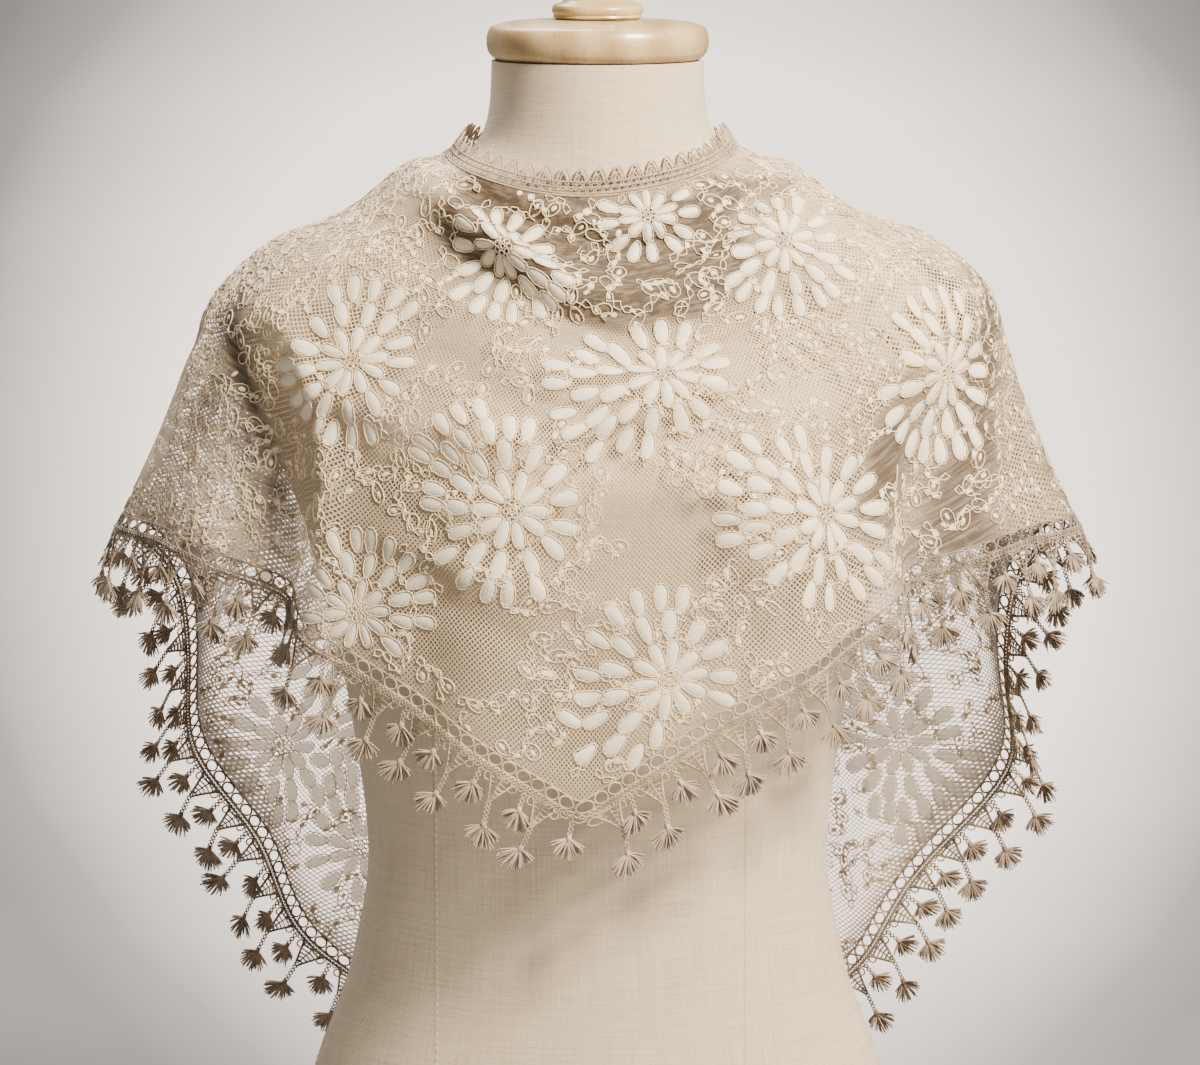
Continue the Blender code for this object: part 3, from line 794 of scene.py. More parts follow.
@dataclass
class Value:
    """A number socket in a shader, with the usual operators."""

    shader: "Shader"
    socket: Any

    def _maths(self, operation: str, *others: Any) -> "Value":
        """Adds a Math node on this value and others."""
        return self.shader.maths(operation, self, *others)

    def __add__(self, other: Any) -> "Value":
        """Returns the sum."""
        return self._maths("ADD", other)

    __radd__ = __add__

    def __mul__(self, other: Any) -> "Value":
        """Returns the product."""
        return self._maths("MULTIPLY", other)

    def __sub__(self, other: Any) -> "Value":
        """Returns the difference."""
        return self._maths("SUBTRACT", other)

    def __truediv__(self, other: Any) -> "Value":
        """Returns the quotient."""
        return self._maths("DIVIDE", other)

    def sine(self) -> "Value":
        """Returns the sine."""
        return self._maths("SINE")

    def absolute(self) -> "Value":
        """Returns the size without its sign."""
        return self._maths("ABSOLUTE")

    def highest(self, other: Any) -> "Value":
        """Returns the larger of two values."""
        return self._maths("MAXIMUM", other)

    def held(self) -> "Value":
        """Returns the value held between 0 and 1."""
        return self._maths("MAXIMUM", 0.0)._maths("MINIMUM", 1.0)


class Shader:
    """A material under construction round one Principled shader."""

    def __init__(self, name: str) -> None:
        """Starts a material with its shader joined to its output."""
        self.material = bpy.data.materials.new(name)
        self.material.use_nodes = True
        self.tree = self.material.node_tree
        self.tree.nodes.clear()
        self.surface = self.node("ShaderNodeBsdfPrincipled")
        self.out = self.node("ShaderNodeOutputMaterial")
        self.tree.links.new(self.surface.outputs["BSDF"], self.out.inputs["Surface"])

    def node(
        self, kind: str, settings: Optional[dict[str, Any]] = None, sockets: Optional[dict[Any, Any]] = None
    ) -> Any:
        """Adds a node.

        Args:
            kind: The node's type.
            settings: What is set on the node first; stops are a ramp's places and colours.
            sockets: Values or links of its inputs, by name or number.

        Returns:
            The node.
        """
        made = self.tree.nodes.new(kind)
        for key, value in (settings or {}).items():
            if key == "stops":
                ramp = made.color_ramp.elements
                while len(ramp) > 1:
                    ramp.remove(ramp[-1])
                for index, (place, colour) in enumerate(value):
                    element = ramp[0] if index == 0 else ramp.new(place)
                    element.position = place
                    element.color = colour
            else:
                setattr(made, key, value)
        for key, value in (sockets or {}).items():
            self.feed(made.inputs[key], value)
        return made

    def feed(self, socket: Any, value: Any) -> None:
        """Links a socket to a value, or sets it."""
        if isinstance(value, Value):
            self.tree.links.new(value.socket, socket)
        elif isinstance(value, bpy.types.NodeSocket):
            self.tree.links.new(value, socket)
        else:
            socket.default_value = value

    def maths(self, operation: str, *values: Any) -> Value:
        """Returns the result of a Math node."""
        made = self.node("ShaderNodeMath", {"operation": operation}, dict(enumerate(values)))
        return Value(self, made.outputs[0])

    def mix(self, share: Any, first: Any, second: Any) -> Any:
        """Returns the colour between two colours."""
        made = self.node("ShaderNodeMix", {"data_type": "RGBA"}, {0: share, 6: first, 7: second})
        return made.outputs[2]

    def attribute(self, name: str) -> Any:
        """Returns the vector of a mesh attribute."""
        return self.node("ShaderNodeAttribute", {"attribute_name": name}).outputs["Vector"]

    def place(self) -> Any:
        """Returns Object coordinates."""
        return self.node("ShaderNodeTexCoord").outputs["Object"]

    def scaled(self, vector: Any, scale: Triple) -> Any:
        """Returns a vector stretched along each axis."""
        made = self.node("ShaderNodeVectorMath", {"operation": "MULTIPLY"}, {0: vector, 1: scale})
        return made.outputs[0]

    def parts(self, vector: Any) -> tuple[Value, Value, Value]:
        """Returns a vector's three numbers."""
        made = self.node("ShaderNodeSeparateXYZ", None, {0: vector})
        return tuple(Value(self, made.outputs[k]) for k in range(3))

    def noise(self, vector: Any, scale: float, detail: float = 3.0, roughness: float = 0.5) -> Value:
        """Returns a noise value about 0.5."""
        made = self.node(
            "ShaderNodeTexNoise", None,
            {"Vector": vector, "Scale": scale, "Detail": detail, "Roughness": roughness},
        )
        return Value(self, made.outputs["Fac"])

    def ramp(self, value: Any, stops: Sequence[tuple[float, Sequence[float]]]) -> Any:
        """Returns the colour of a ramp at a value."""
        return self.node("ShaderNodeValToRGB", {"stops": stops}, {0: value}).outputs["Color"]

    def let_through(self, colour: Colour, share: float) -> None:
        """Lets a share of the light behind the surface shine through it."""
        thin = self.node("ShaderNodeBsdfTranslucent", None, {"Color": opaque(colour)})
        mixed = self.node(
            "ShaderNodeMixShader", None,
            {0: share, 1: self.surface.outputs["BSDF"], 2: thin.outputs["BSDF"]},
        )
        self.tree.links.new(mixed.outputs[0], self.out.inputs["Surface"])

    def dent(self, height: Any, strength: float, distance: float) -> None:
        """Feeds a height to the surface through a Bump node."""
        made = self.node(
            "ShaderNodeBump", None, {"Strength": strength, "Distance": distance, "Height": height}
        )
        self.feed(self.surface.inputs["Normal"], made.outputs["Normal"])

    def set(self, **sockets: Any) -> None:
        """Sets or links inputs of the surface; an underscore in a name stands for a space."""
        for key, value in sockets.items():
            self.feed(self.surface.inputs[key.replace("_", " ")], value)


def opaque(colour: Colour) -> tuple[float, float, float, float]:
    """Returns a colour with full alpha."""
    return (*colour, 1.0)


@dataclass(frozen=True)
class NetFinish:
    """Fine diamond net: soft threads with open meshes, closer where gathered, and darker there with painted
    shade.
    """

    colour: Colour = (0.740, 0.570, 0.375)
    shade: Colour = (0.560, 0.405, 0.250)
    # Colour of gathered or double net, which is also the painted shade in troughs, beside folds and at the
    # hem
    gathered_and_shaded: Colour = (0.068, 0.042, 0.022)
    pitch: float = 0.0030
    half_thread: float = 0.34
    sharpness: float = 5.0
    cover: float = 0.94
    # How the streaks of a gathered band, and of its painted shade, are stretched over the cloth
    streak: Triple = (60.0, 420.0, 1.0)

    def make(self) -> bpy.types.Material:
        """Returns the material."""
        shader = Shader("lace_net")
        cloth = shader.attribute("cloth")
        across, down, gather_and_shade = shader.parts(cloth)
        turns = math.pi / self.pitch
        first = ((across + down) * turns).sine().absolute()
        second = ((across - down) * turns).sine().absolute()
        streaks = shader.noise(shader.scaled(cloth, self.streak), 1.0, 3.0, 0.6)
        # How gathered the net is and how much painted shade lies on it, made streaky
        gather_and_shade = gather_and_shade * (streaks * 1.1 + 0.45)
        wide = gather_and_shade * 0.75 + self.half_thread
        threads = ((wide - first) * self.sharpness + 0.5).held()
        threads = threads.highest(((wide - second) * self.sharpness + 0.5).held())
        tint = shader.noise(cloth, 22.0, 3.0)
        plain = shader.mix(tint, opaque(self.colour), opaque(self.shade))
        shader.set(
            # Painted shade: the net darkens towards its gathered colour along the bands
            Base_Color=shader.mix((gather_and_shade * 0.95).held(), plain, opaque(self.gathered_and_shaded)),
            Roughness=0.8,
            Sheen_Weight=0.08,
            Alpha=threads * self.cover,
        )
        shader.dent(threads, 0.35, 0.0004)
        return shader.material


@dataclass(frozen=True)
class SatinFinish:
    """Petals filled with satin stitch, close threads across the petal; painted shade at the rim."""

    name: str = "satin_petal"
    colour: Colour = (0.880, 0.788, 0.620)
    # The darker tone of random patches, and the painted shade towards the rim
    shade: Colour = (0.740, 0.613, 0.436)
    thread: float = 0.0007
    through: float = 0.15
    cover: float = 1.0

    def make(self) -> bpy.types.Material:
        """Returns the material."""
        shader = Shader(self.name)
        petal = shader.attribute("petal")
        _, along, share = shader.parts(petal)
        wobble = shader.noise(shader.place(), 900.0, 2.0)
        threads = (along * (math.pi / self.thread) + wobble * 2.0).sine().absolute() * 0.8 + 0.2
        patches = shader.noise(shader.place(), 60.0, 3.0)
        # Painted shade towards each petal's rim, with random darker patches
        edge = (share * share * 0.35 + patches * 0.35).held()
        shader.set(
            Base_Color=shader.mix(edge, opaque(self.colour), opaque(self.shade)),
            Roughness=0.55,
            Sheen_Weight=0.2,
            Alpha=self.cover,
        )
        shader.dent(threads, 0.4, 0.0003)
        shader.let_through(self.colour, self.through)
        return shader.material


@dataclass(frozen=True)
class CordFinish:
    """Matt twisted cord, a little uneven in tone, with painted shade darkening it towards the sides."""

    name: str
    colour: Colour
    shade: Colour
    # How much painted shade darkens the cord towards both sides of the part
    aside: float = 0.0

    def make(self) -> bpy.types.Material:
        """Returns the material."""
        shader = Shader(self.name)
        tint = shader.noise(shader.place(), 140.0, 3.0)
        twist = shader.noise(shader.place(), 1500.0, 2.0)
        across = shader.parts(shader.place())[0]
        # Painted shade: darker the further the cord lies to either side of the middle
        far = ((across.absolute() - 0.07) * 9.0).held() * self.aside
        spread = ((tint - 0.5) * 1.8 + (0.5 - 0.4 * self.aside) + far).held()
        shader.set(
            Base_Color=shader.mix(spread, opaque(self.colour), opaque(self.shade)),
            Roughness=0.8,
            Sheen_Weight=0.3,
        )
        shader.dent(twist, 0.5, 0.0003)
        return shader.material


class Cord(Enum):
    """The finish of each kind of cord."""

    SEAM = CordFinish("seam_shadow", (0.30, 0.24, 0.165), (0.36, 0.29, 0.20))
    STITCH = CordFinish("seam_thread", (0.70, 0.63, 0.52), (0.60, 0.52, 0.41))
    OUTLINE = CordFinish("outline_cord", (0.800, 0.640, 0.420), (0.620, 0.450, 0.270))
    VINE = CordFinish("vine_cord", (0.620, 0.480, 0.320), (0.430, 0.315, 0.200))
    DOT = CordFinish("dot_thread", (0.84, 0.70, 0.48), (0.72, 0.56, 0.35))
    # Trim and tassels: their dark second colour is also painted shade towards the sides
    TRIM = CordFinish("trim_cord", (0.540, 0.395, 0.250), (0.115, 0.075, 0.045), 0.55)
    TASSEL = CordFinish("tassel_thread", (0.470, 0.342, 0.240), (0.160, 0.111, 0.072), 0.35)
    PICOT = CordFinish("picot_cord", (0.470, 0.340, 0.230), (0.230, 0.155, 0.100))


@dataclass(frozen=True)
class LinenFinish:
    """Plain-woven natural linen with slubs both ways."""

    colour: Colour = (0.540, 0.425, 0.288)
    light: Colour = (0.605, 0.485, 0.340)
    dark: Colour = (0.430, 0.330, 0.212)
    thread: float = 0.0009
    # How the slubs of each way of threads are stretched over the cloth
    weft: Triple = (22.0, 620.0, 1.0)
    warp: Triple = (620.0, 18.0, 1.0)

    def make(self) -> bpy.types.Material:
        """Returns the material."""
        shader = Shader("linen")
        cloth = shader.attribute("cloth")
        across, down, _ = shader.parts(cloth)
        weft, warp = (
            shader.noise(shader.scaled(cloth, slubs), 1.0, 3.0, 0.6) for slubs in (self.weft, self.warp)
        )
        fleck = shader.noise(cloth, 480.0, 3.0, 0.65)
        cloud = shader.noise(cloth, 7.0, 3.0)
        slub = ((weft + warp) * 0.5 + fleck * 0.25 + cloud * 0.12 - 0.14).held()
        tone = shader.ramp(
            slub, ((0.36, opaque(self.dark)), (0.50, opaque(self.colour)), (0.66, opaque(self.light)))
        )
        turns = math.pi / self.thread
        weave = (across * turns).sine().absolute() * (down * turns).sine().absolute()
        shader.set(Base_Color=tone, Roughness=0.92, Sheen_Weight=0.15)
        shader.dent(weave * 0.5 + slub, 0.35, 0.0006)
        return shader.material


@dataclass(frozen=True)
class MapleFinish:
    """Pale turned maple under satin varnish, with fine rings and flecks."""

    light: Colour = (0.520, 0.370, 0.185)
    mid: Colour = (0.430, 0.290, 0.130)
    dark: Colour = (0.310, 0.190, 0.078)

    def make(self) -> bpy.types.Material:
        """Returns the material."""
        shader = Shader("maple")
        place = shader.place()
        bend = shader.noise(shader.scaled(place, (6.0, 6.0, 20.0)), 1.0, 2.0)
        across, _, height = shader.parts(place)
        rings = ((across * 260.0 + bend * 9.0 + height * 60.0).sine() * 0.5 + 0.5) * 0.35
        fibre = shader.noise(shader.scaled(place, (700.0, 26.0, 260.0)), 1.0, 3.0, 0.6)
        tone = shader.ramp(
            (rings + fibre * 0.65).held(),
            ((0.25, opaque(self.light)), (0.50, opaque(self.mid)), (0.85, opaque(self.dark))),
        )
        shader.set(Base_Color=tone, Roughness=0.30 + fibre * 0.12, Coat_Weight=0.35, Coat_Roughness=0.18)
        shader.dent(fibre, 0.12, 0.0003)
        return shader.material


@dataclass(frozen=True)
class PaperFinish:
    """Floor and backdrop: dim paper, glowing with a painted pool of light that widens towards the back."""

    paper: Colour = (0.105, 0.100, 0.095)
    glow: float = 2.65
    middle: float = 0.035
    front_width: float = 0.53
    widening: float = 0.2236
    reach: float = 7.0
    # How far back, up the bend too, and how much the pool has faded there
    backward: tuple[Place, ...] = (
        (0.20, 0.550), (0.62, 0.335), (1.00, 0.196), (1.50, 0.088), (2.00, 0.034), (2.60, 0.006),
        (3.10, 0.000), (4.00, 0.008), (4.80, 0.025), (5.04, 0.037), (5.40, 0.085), (5.76, 0.180),
        (6.00, 0.295), (6.60, 0.550),
    )
    # The glow's colour at each share of fading
    fade: tuple[tuple[float, Colour], ...] = (
        (0.150, (1.000, 0.850, 0.740)),
        (0.238, (0.938, 0.795, 0.690)),
        (0.278, (0.760, 0.660, 0.575)),
        (0.362, (0.500, 0.447, 0.398)),
        (0.496, (0.172, 0.160, 0.147)),
        (0.600, (0.092, 0.086, 0.079)),
    )

    def make(self) -> bpy.types.Material:
        """Returns the material."""
        shader = Shader("backdrop")
        across, deep, high = shader.parts(shader.place())
        back = deep + high
        stops = [(place / self.reach, opaque((faded, faded, faded))) for place, faded in self.backward]
        faded = shader.parts(shader.ramp((back * (1 / self.reach)).held(), stops))[0]
        aside = (across - self.middle) / (back * self.widening + self.front_width).highest(0.15)
        colour = shader.ramp(
            (aside * aside + faded).held(), [(place, opaque(tone)) for place, tone in self.fade]
        )
        shader.set(
            Base_Color=opaque(self.paper),
            Roughness=1.0,
            Emission_Color=colour,
            Emission_Strength=self.glow,
        )
        return shader.material


class Slot(Enum):
    """Material slots."""

    LACE = "lace"
    TRIM = "trim"
    LINEN = "linen"
    WOOD = "wood"


def dress(piece: bpy.types.Object, material: bpy.types.Material, slot: Slot, *nodes: str) -> None:
    """Gives a piece its material and its body, and hides the nodes that it stands for."""
    piece.data.materials.clear()
    piece.data.materials.append(material)
    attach(piece, BODY)
    if nodes:
        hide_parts(*nodes)
    LOG.info("%s: %d faces", piece.name, len(piece.data.polygons))


@dataclass
class VeilSheet:
    """The net ground of the veil: one thin sheet on a fine grid."""

    cloth: ClothMap
    flat_size: Place = (1.60, 0.50)
    flat_area: float = 0.40
    # A band above the hem where the net is closer and painted darker, partly as shade; wider at the steep
    # sides
    hem_band: float = 0.014
    hem_gather_and_shade: float = 0.50
    steep_angle: float = 106.0
    steep_spread: float = 14.0
    steep_widening: float = 1.3

    def build(self) -> bpy.types.Object:
        """Returns the sheet with each vertex's place on the flat cloth, and its gathering and painted
        shade, as an attribute.
        """
        bm = bmesh.new()
        columns, rows = self.cloth.columns, self.cloth.rows
        bmesh.ops.create_grid(bm, x_segments=columns, y_segments=rows, size=0.5)
        layer = bm.verts.layers.float_vector.new("cloth")
        drape = self.cloth.drape
        downs = [self._downs(column) for column in range(columns + 1)]
        for vert in bm.verts:
            i = round((vert.co.x + 0.5) * columns)
            j = round((0.5 - vert.co.y) * rows)
            angle = self.cloth.angles[i]
            vert.co = self.cloth.points[i][j]
            above_hem = downs[i][-1] - downs[i][j]
            steep = bump(abs(angle) - self.steep_angle, self.steep_spread)
            band = bump(above_hem, self.hem_band * (1 + self.steep_widening * steep))
            # Gathered net and painted shade, kept in the attribute's third number
            gather_and_shade = min(1.0, drape.gather_and_shade(angle, vert.co.z) + self.hem_gather_and_shade * (1 + steep) * band)
            vert[layer] = Vector((math.radians(angle) * drape.flat_radius, -downs[i][j], gather_and_shade))
        bm.faces.ensure_lookup_table()
        bm.normal_update()
        first = bm.faces[0]
        if first.normal.xy.dot(first.calc_center_median().xy) < 0:
            bmesh.ops.reverse_faces(bm, faces=bm.faces)
        return from_bmesh("veil_net", bm, 180.0)

    def _downs(self, column: int) -> list[float]:
        """Returns how far down the cloth each row of a column lies."""
        points = self.cloth.points[column]
        downs = [0.0]
        for first, second in zip(points, points[1:]):
            downs.append(downs[-1] + (second - first).length)
        return downs


@dataclass
class Petal:
    """One petal of a flower: its place from the flower's middle, its turn and its size."""

    across: float
    along: float
    turn: float
    length: float
    width: float


@dataclass
class Flower:
    """A flower of two full rings of petals round an eyelet, with a long and a short tail of more."""

    angle: float
    height: float
    turn: float
    tail: float
    second_tail: float
    size: float
    rows: int
    second: int
    # Full rings: number of petals, how far out, length, width
    rings: tuple[tuple[int, float, float, float], ...] = (
        (10, 0.0132, 0.0148, 0.0066),
        (13, 0.0282, 0.0156, 0.0080),
    )
    # Tail rows: number, how far out, spread to each side, length, width
    tail_rows: tuple[tuple[int, float, float, float, float], ...] = (
        (8, 0.0436, 0.92, 0.0150, 0.0078),
        (5, 0.0588, 0.44, 0.0146, 0.0074),
    )
    second_rows: tuple[tuple[int, float, float, float, float], ...] = (
        (5, 0.0434, 0.60, 0.0148, 0.0076),
        (3, 0.0584, 0.22, 0.0144, 0.0072),
    )

    def petals(self, rng: random.Random) -> list[Petal]:
        """Returns the flower's petals, a little uneven."""
        found: list[Petal] = []
        tails = (
            (self.tail, self.tail_rows[: self.rows]),
            (self.second_tail, self.second_rows[: self.second]),
        )
        for ring, (count, radius, length, width) in enumerate(self.rings):
            for k in range(count):
                turn = self.turn + math.tau * (k + 0.5 * ring) / count + rng.uniform(-0.06, 0.06)
                lean = max(math.cos(turn - self.tail), math.cos(turn - self.second_tail), 0.0)
                found.append(self._petal(turn, radius * (1 + 0.04 * ring * lean), length, width, rng))
        for tail, rows in tails:
            for count, radius, spread, length, width in rows:
                for k in range(count):
                    side = 2 * k / (count - 1) - 1
                    turn = tail + spread * side + rng.uniform(-0.05, 0.05)
                    fall = 1 - 0.02 * side * side
                    found.append(self._petal(turn, radius * fall, length, width, rng))
        return found

    def _petal(self, turn: float, radius: float, length: float, width: float, rng: random.Random) -> Petal:
        """Returns a petal that points away from the flower's middle."""
        return Petal(
            across=self.size * radius * math.cos(turn),
            along=self.size * radius * math.sin(turn),
            turn=turn + rng.uniform(-0.10, 0.10),
            length=self.size * length * rng.uniform(0.92, 1.06),
            width=self.size * width * rng.uniform(0.88, 1.08),
        )


@dataclass
class FlowerWork:
    """The veil's flowers: satin petals, the cord round each petal, and the eyelets."""

    cloth: ClothMap
    crowd: Crowd = field(default_factory=Crowd)
    seed: int = 11
    sides: int = 10
    narrow: float = 0.66
    blunt: float = 0.90
    raised: float = 0.00045
    cord: float = 0.00036
    cord_gap: float = 0.0007
    cord_height: float = 0.4
    # The petal's dome: how far in its shoulder lies, and the heights of its shoulder and its middle
    dome: Triple = (0.30, 0.8, 1.0)
    apart: float = 0.0094
    inside_from: float = 78.0
    # Cord rings in a flower's middle: how far out, their radius, how many
    eyelets: tuple[tuple[float, float, int], ...] = ((0.0, 0.0012, 1), (0.0034, 0.0014, 7))
    # In front, as the photograph shows them: angle, height, turn, two tails (degrees), size, their rows
    front: tuple[tuple[float, float, float, float, float, float, int, int], ...] = (
        (22, 0.656, 10, 235, 345, 0.74, 0, 0),
        (-34, 0.636, 25, 280, 160, 0.86, 1, 0),
        (59, 0.638, 5, 262, 165, 0.84, 1, 0),
        (-57, 0.580, 15, 240, 82, 0.94, 1, 1),
        (18, 0.576, 20, 200, 75, 0.96, 2, 0),
        (74, 0.571, 8, 240, 100, 0.96, 1, 1),
        (-19, 0.5105, 12, 142, 268, 1.0, 2, 1),
        (48, 0.504, 0, 150, 268, 1.0, 2, 1),
        (16, 0.4214, 18, 205, 88, 1.0, 2, 1),
        (-50, 0.452, 30, 75, 190, 0.9, 1, 0),
    )
    # On the wings and down the back, in the same repeat
    behind: tuple[tuple[float, float, float, float, float], ...] = (
        (-92, 0.532, 10, 200, 80), (94, 0.535, 20, 330, 100),
        (-97, 0.640, 5, 250, 110), (104, 0.642, 12, 290, 60),
        (-148, 0.640, 25, 210, 330), (152, 0.640, 8, 300, 200),
        (-124, 0.574, 0, 160, 280), (128, 0.574, 14, 20, 260),
        (178, 0.574, 20, 240, 100),
        (-154, 0.498, 12, 200, 70), (155, 0.502, 28, 330, 110),
        (-112, 0.464, 16, 250, 100), (113, 0.464, 8, 290, 80),
        (-132, 0.400, 22, 160, 280), (134, 0.400, 4, 20, 260),
        (-171, 0.408, 10, 220, 80), (177, 0.414, 18, 300, 90),
        (-152, 0.316, 26, 190, 70), (154, 0.318, 6, 340, 110),
        (-136, 0.268, 8, 60, 170), (185, 0.330, 14, 250, 90),
        (-170, 0.228, 12, 170, 60), (175, 0.228, 24, 10, 120),
        (-155, 0.192, 6, 100, 200), (160, 0.190, 16, 80, 340),
        (188, 0.142, 16, 100, 200), (-122, 0.334, 20, 250, 90), (124, 0.336, 8, 290, 90),
    )
    behind_rows: tuple[float, int, int] = (1.0, 2, 1)

    def flowers(self) -> list[Flower]:
        """Returns every flower of the veil."""
        return [
            Flower(place[0], place[1], *(math.radians(value) for value in place[2:5]), *place[5:])
            for place in [*self.front, *(spot + self.behind_rows for spot in self.behind)]
        ]

    def template(self) -> bmesh.types.BMesh:
        """Returns a domed disc of radius 1, from which every petal is shaped."""
        bm = bmesh.new()
        bmesh.ops.create_circle(bm, cap_ends=True, segments=self.sides, radius=1.0)
        inset, shoulder, top = self.dome
        rim = set(bmesh.ops.inset_individual(bm, faces=bm.faces[:], thickness=inset, depth=0.0)["faces"])
        inner = [face for face in bm.faces if face not in rim]
        for vert in {vert for face in inner for vert in face.verts}:
            vert.co.z = shoulder
        for vert in bmesh.ops.poke(bm, faces=inner)["verts"]:
            vert.co.z = top
        return bm

    def build(self) -> tuple[tuple[bpy.types.Object, ...], bpy.types.Object]:
        """Builds the flowers.

        Returns:
            The petals in front, the petals behind and their undersides; and the cords. The
            middles of the petals are kept in the crowd.
        """
        rng = random.Random(self.seed)
        sides = {name: bmesh.new() for name in ("petals_front", "petals_behind", "petal_undersides")}
        layers = {name: bm.verts.layers.float_vector.new("petal") for name, bm in sides.items()}
        template = self.template()
        template.verts.ensure_lookup_table()
        shape = [vert.co.copy() for vert in template.verts]
        corners = [[vert.index for vert in face.verts] for face in template.faces]
        template.free()
        cords = CordSet("petal_cords")
        for flower in self.flowers():
            centre = self.cloth.find(flower.angle, flower.height)
            self._eyelet(centre, cords)
            faces = {"petals_behind": 1, "petal_undersides": -1}
            if abs(flower.angle) < self.inside_from:
                faces = {"petals_front": 1}
            placed = []
            for petal in flower.petals(rng):
                reach = math.hypot(petal.across, petal.along)
                place = self.cloth.walk(centre, math.atan2(petal.along, petal.across), reach)
                if place is None or not self.crowd.clear(self.cloth.spot(place), self.apart):
                    continue
                laid = {
                    name: [self._lay(place, petal, co, face=face) for co in shape]
                    for name, face in faces.items()
                }
                if any(point is None for points in laid.values() for point in points):
                    continue
                for name, points in laid.items():
                    verts = []
                    for point, co in zip(points, shape):
                        vert = sides[name].verts.new(point)
                        vert[layers[name]] = (
                            co.x * petal.width / 2, co.y * petal.length / 2, co.xy.length
                        )
                        verts.append(vert)
                    for ring in corners:
                        sides[name].faces.new([verts[k] for k in ring[:: faces[name]]])
                self._outline(place, petal, cords)
                placed.append(self.cloth.spot(place))
            for spot in placed:
                self.crowd.add(spot)
        return tuple(from_bmesh(name, bm, 80.0) for name, bm in sides.items()), cords.build()

    def _lay(
        self, place: Place, petal: Petal, co: Vector, grow: float = 0.0, face: int = 1,
    ) -> Optional[Vector]:
        """Returns where a point of the template lies, on the cloth's right side or its wrong one."""
        flat, long = (math.copysign(abs(value) ** self.blunt, value) for value in (co.x, co.y))
        side = flat * (petal.width / 2 + grow) * (self.narrow + (1.08 - self.narrow) * (long + 1) / 2)
        reach = long * (petal.length / 2 + grow)
        raised = face * (0.0002 + self.raised * co.z)
        return self.cloth.lay(place, petal.turn - math.pi / 2, side, reach, raised)

    def _outline(self, place: Place, petal: Petal, cords: CordSet) -> None:
        """Adds the cord round a petal."""
        ring = [Vector((*spot, self.cord_height)) for spot in oval(around(self.sides), 1.0, 1.0)]
        cords.add([self._lay(place, petal, co, self.cord_gap) for co in ring], self.cord, closed=True)

    def _eyelet(self, centre: Place, cords: CordSet) -> None:
        """Adds the ring and the small loops in a flower's middle."""
        for off, radius, count in self.eyelets:
            for middle in oval(around(count), off, off):
                ring = oval(around(8), radius, radius, middle)
                cords.add(
                    [self.cloth.lay(centre, 0.0, *spot, 0.0004) for spot in ring], self.cord, closed=True
                )


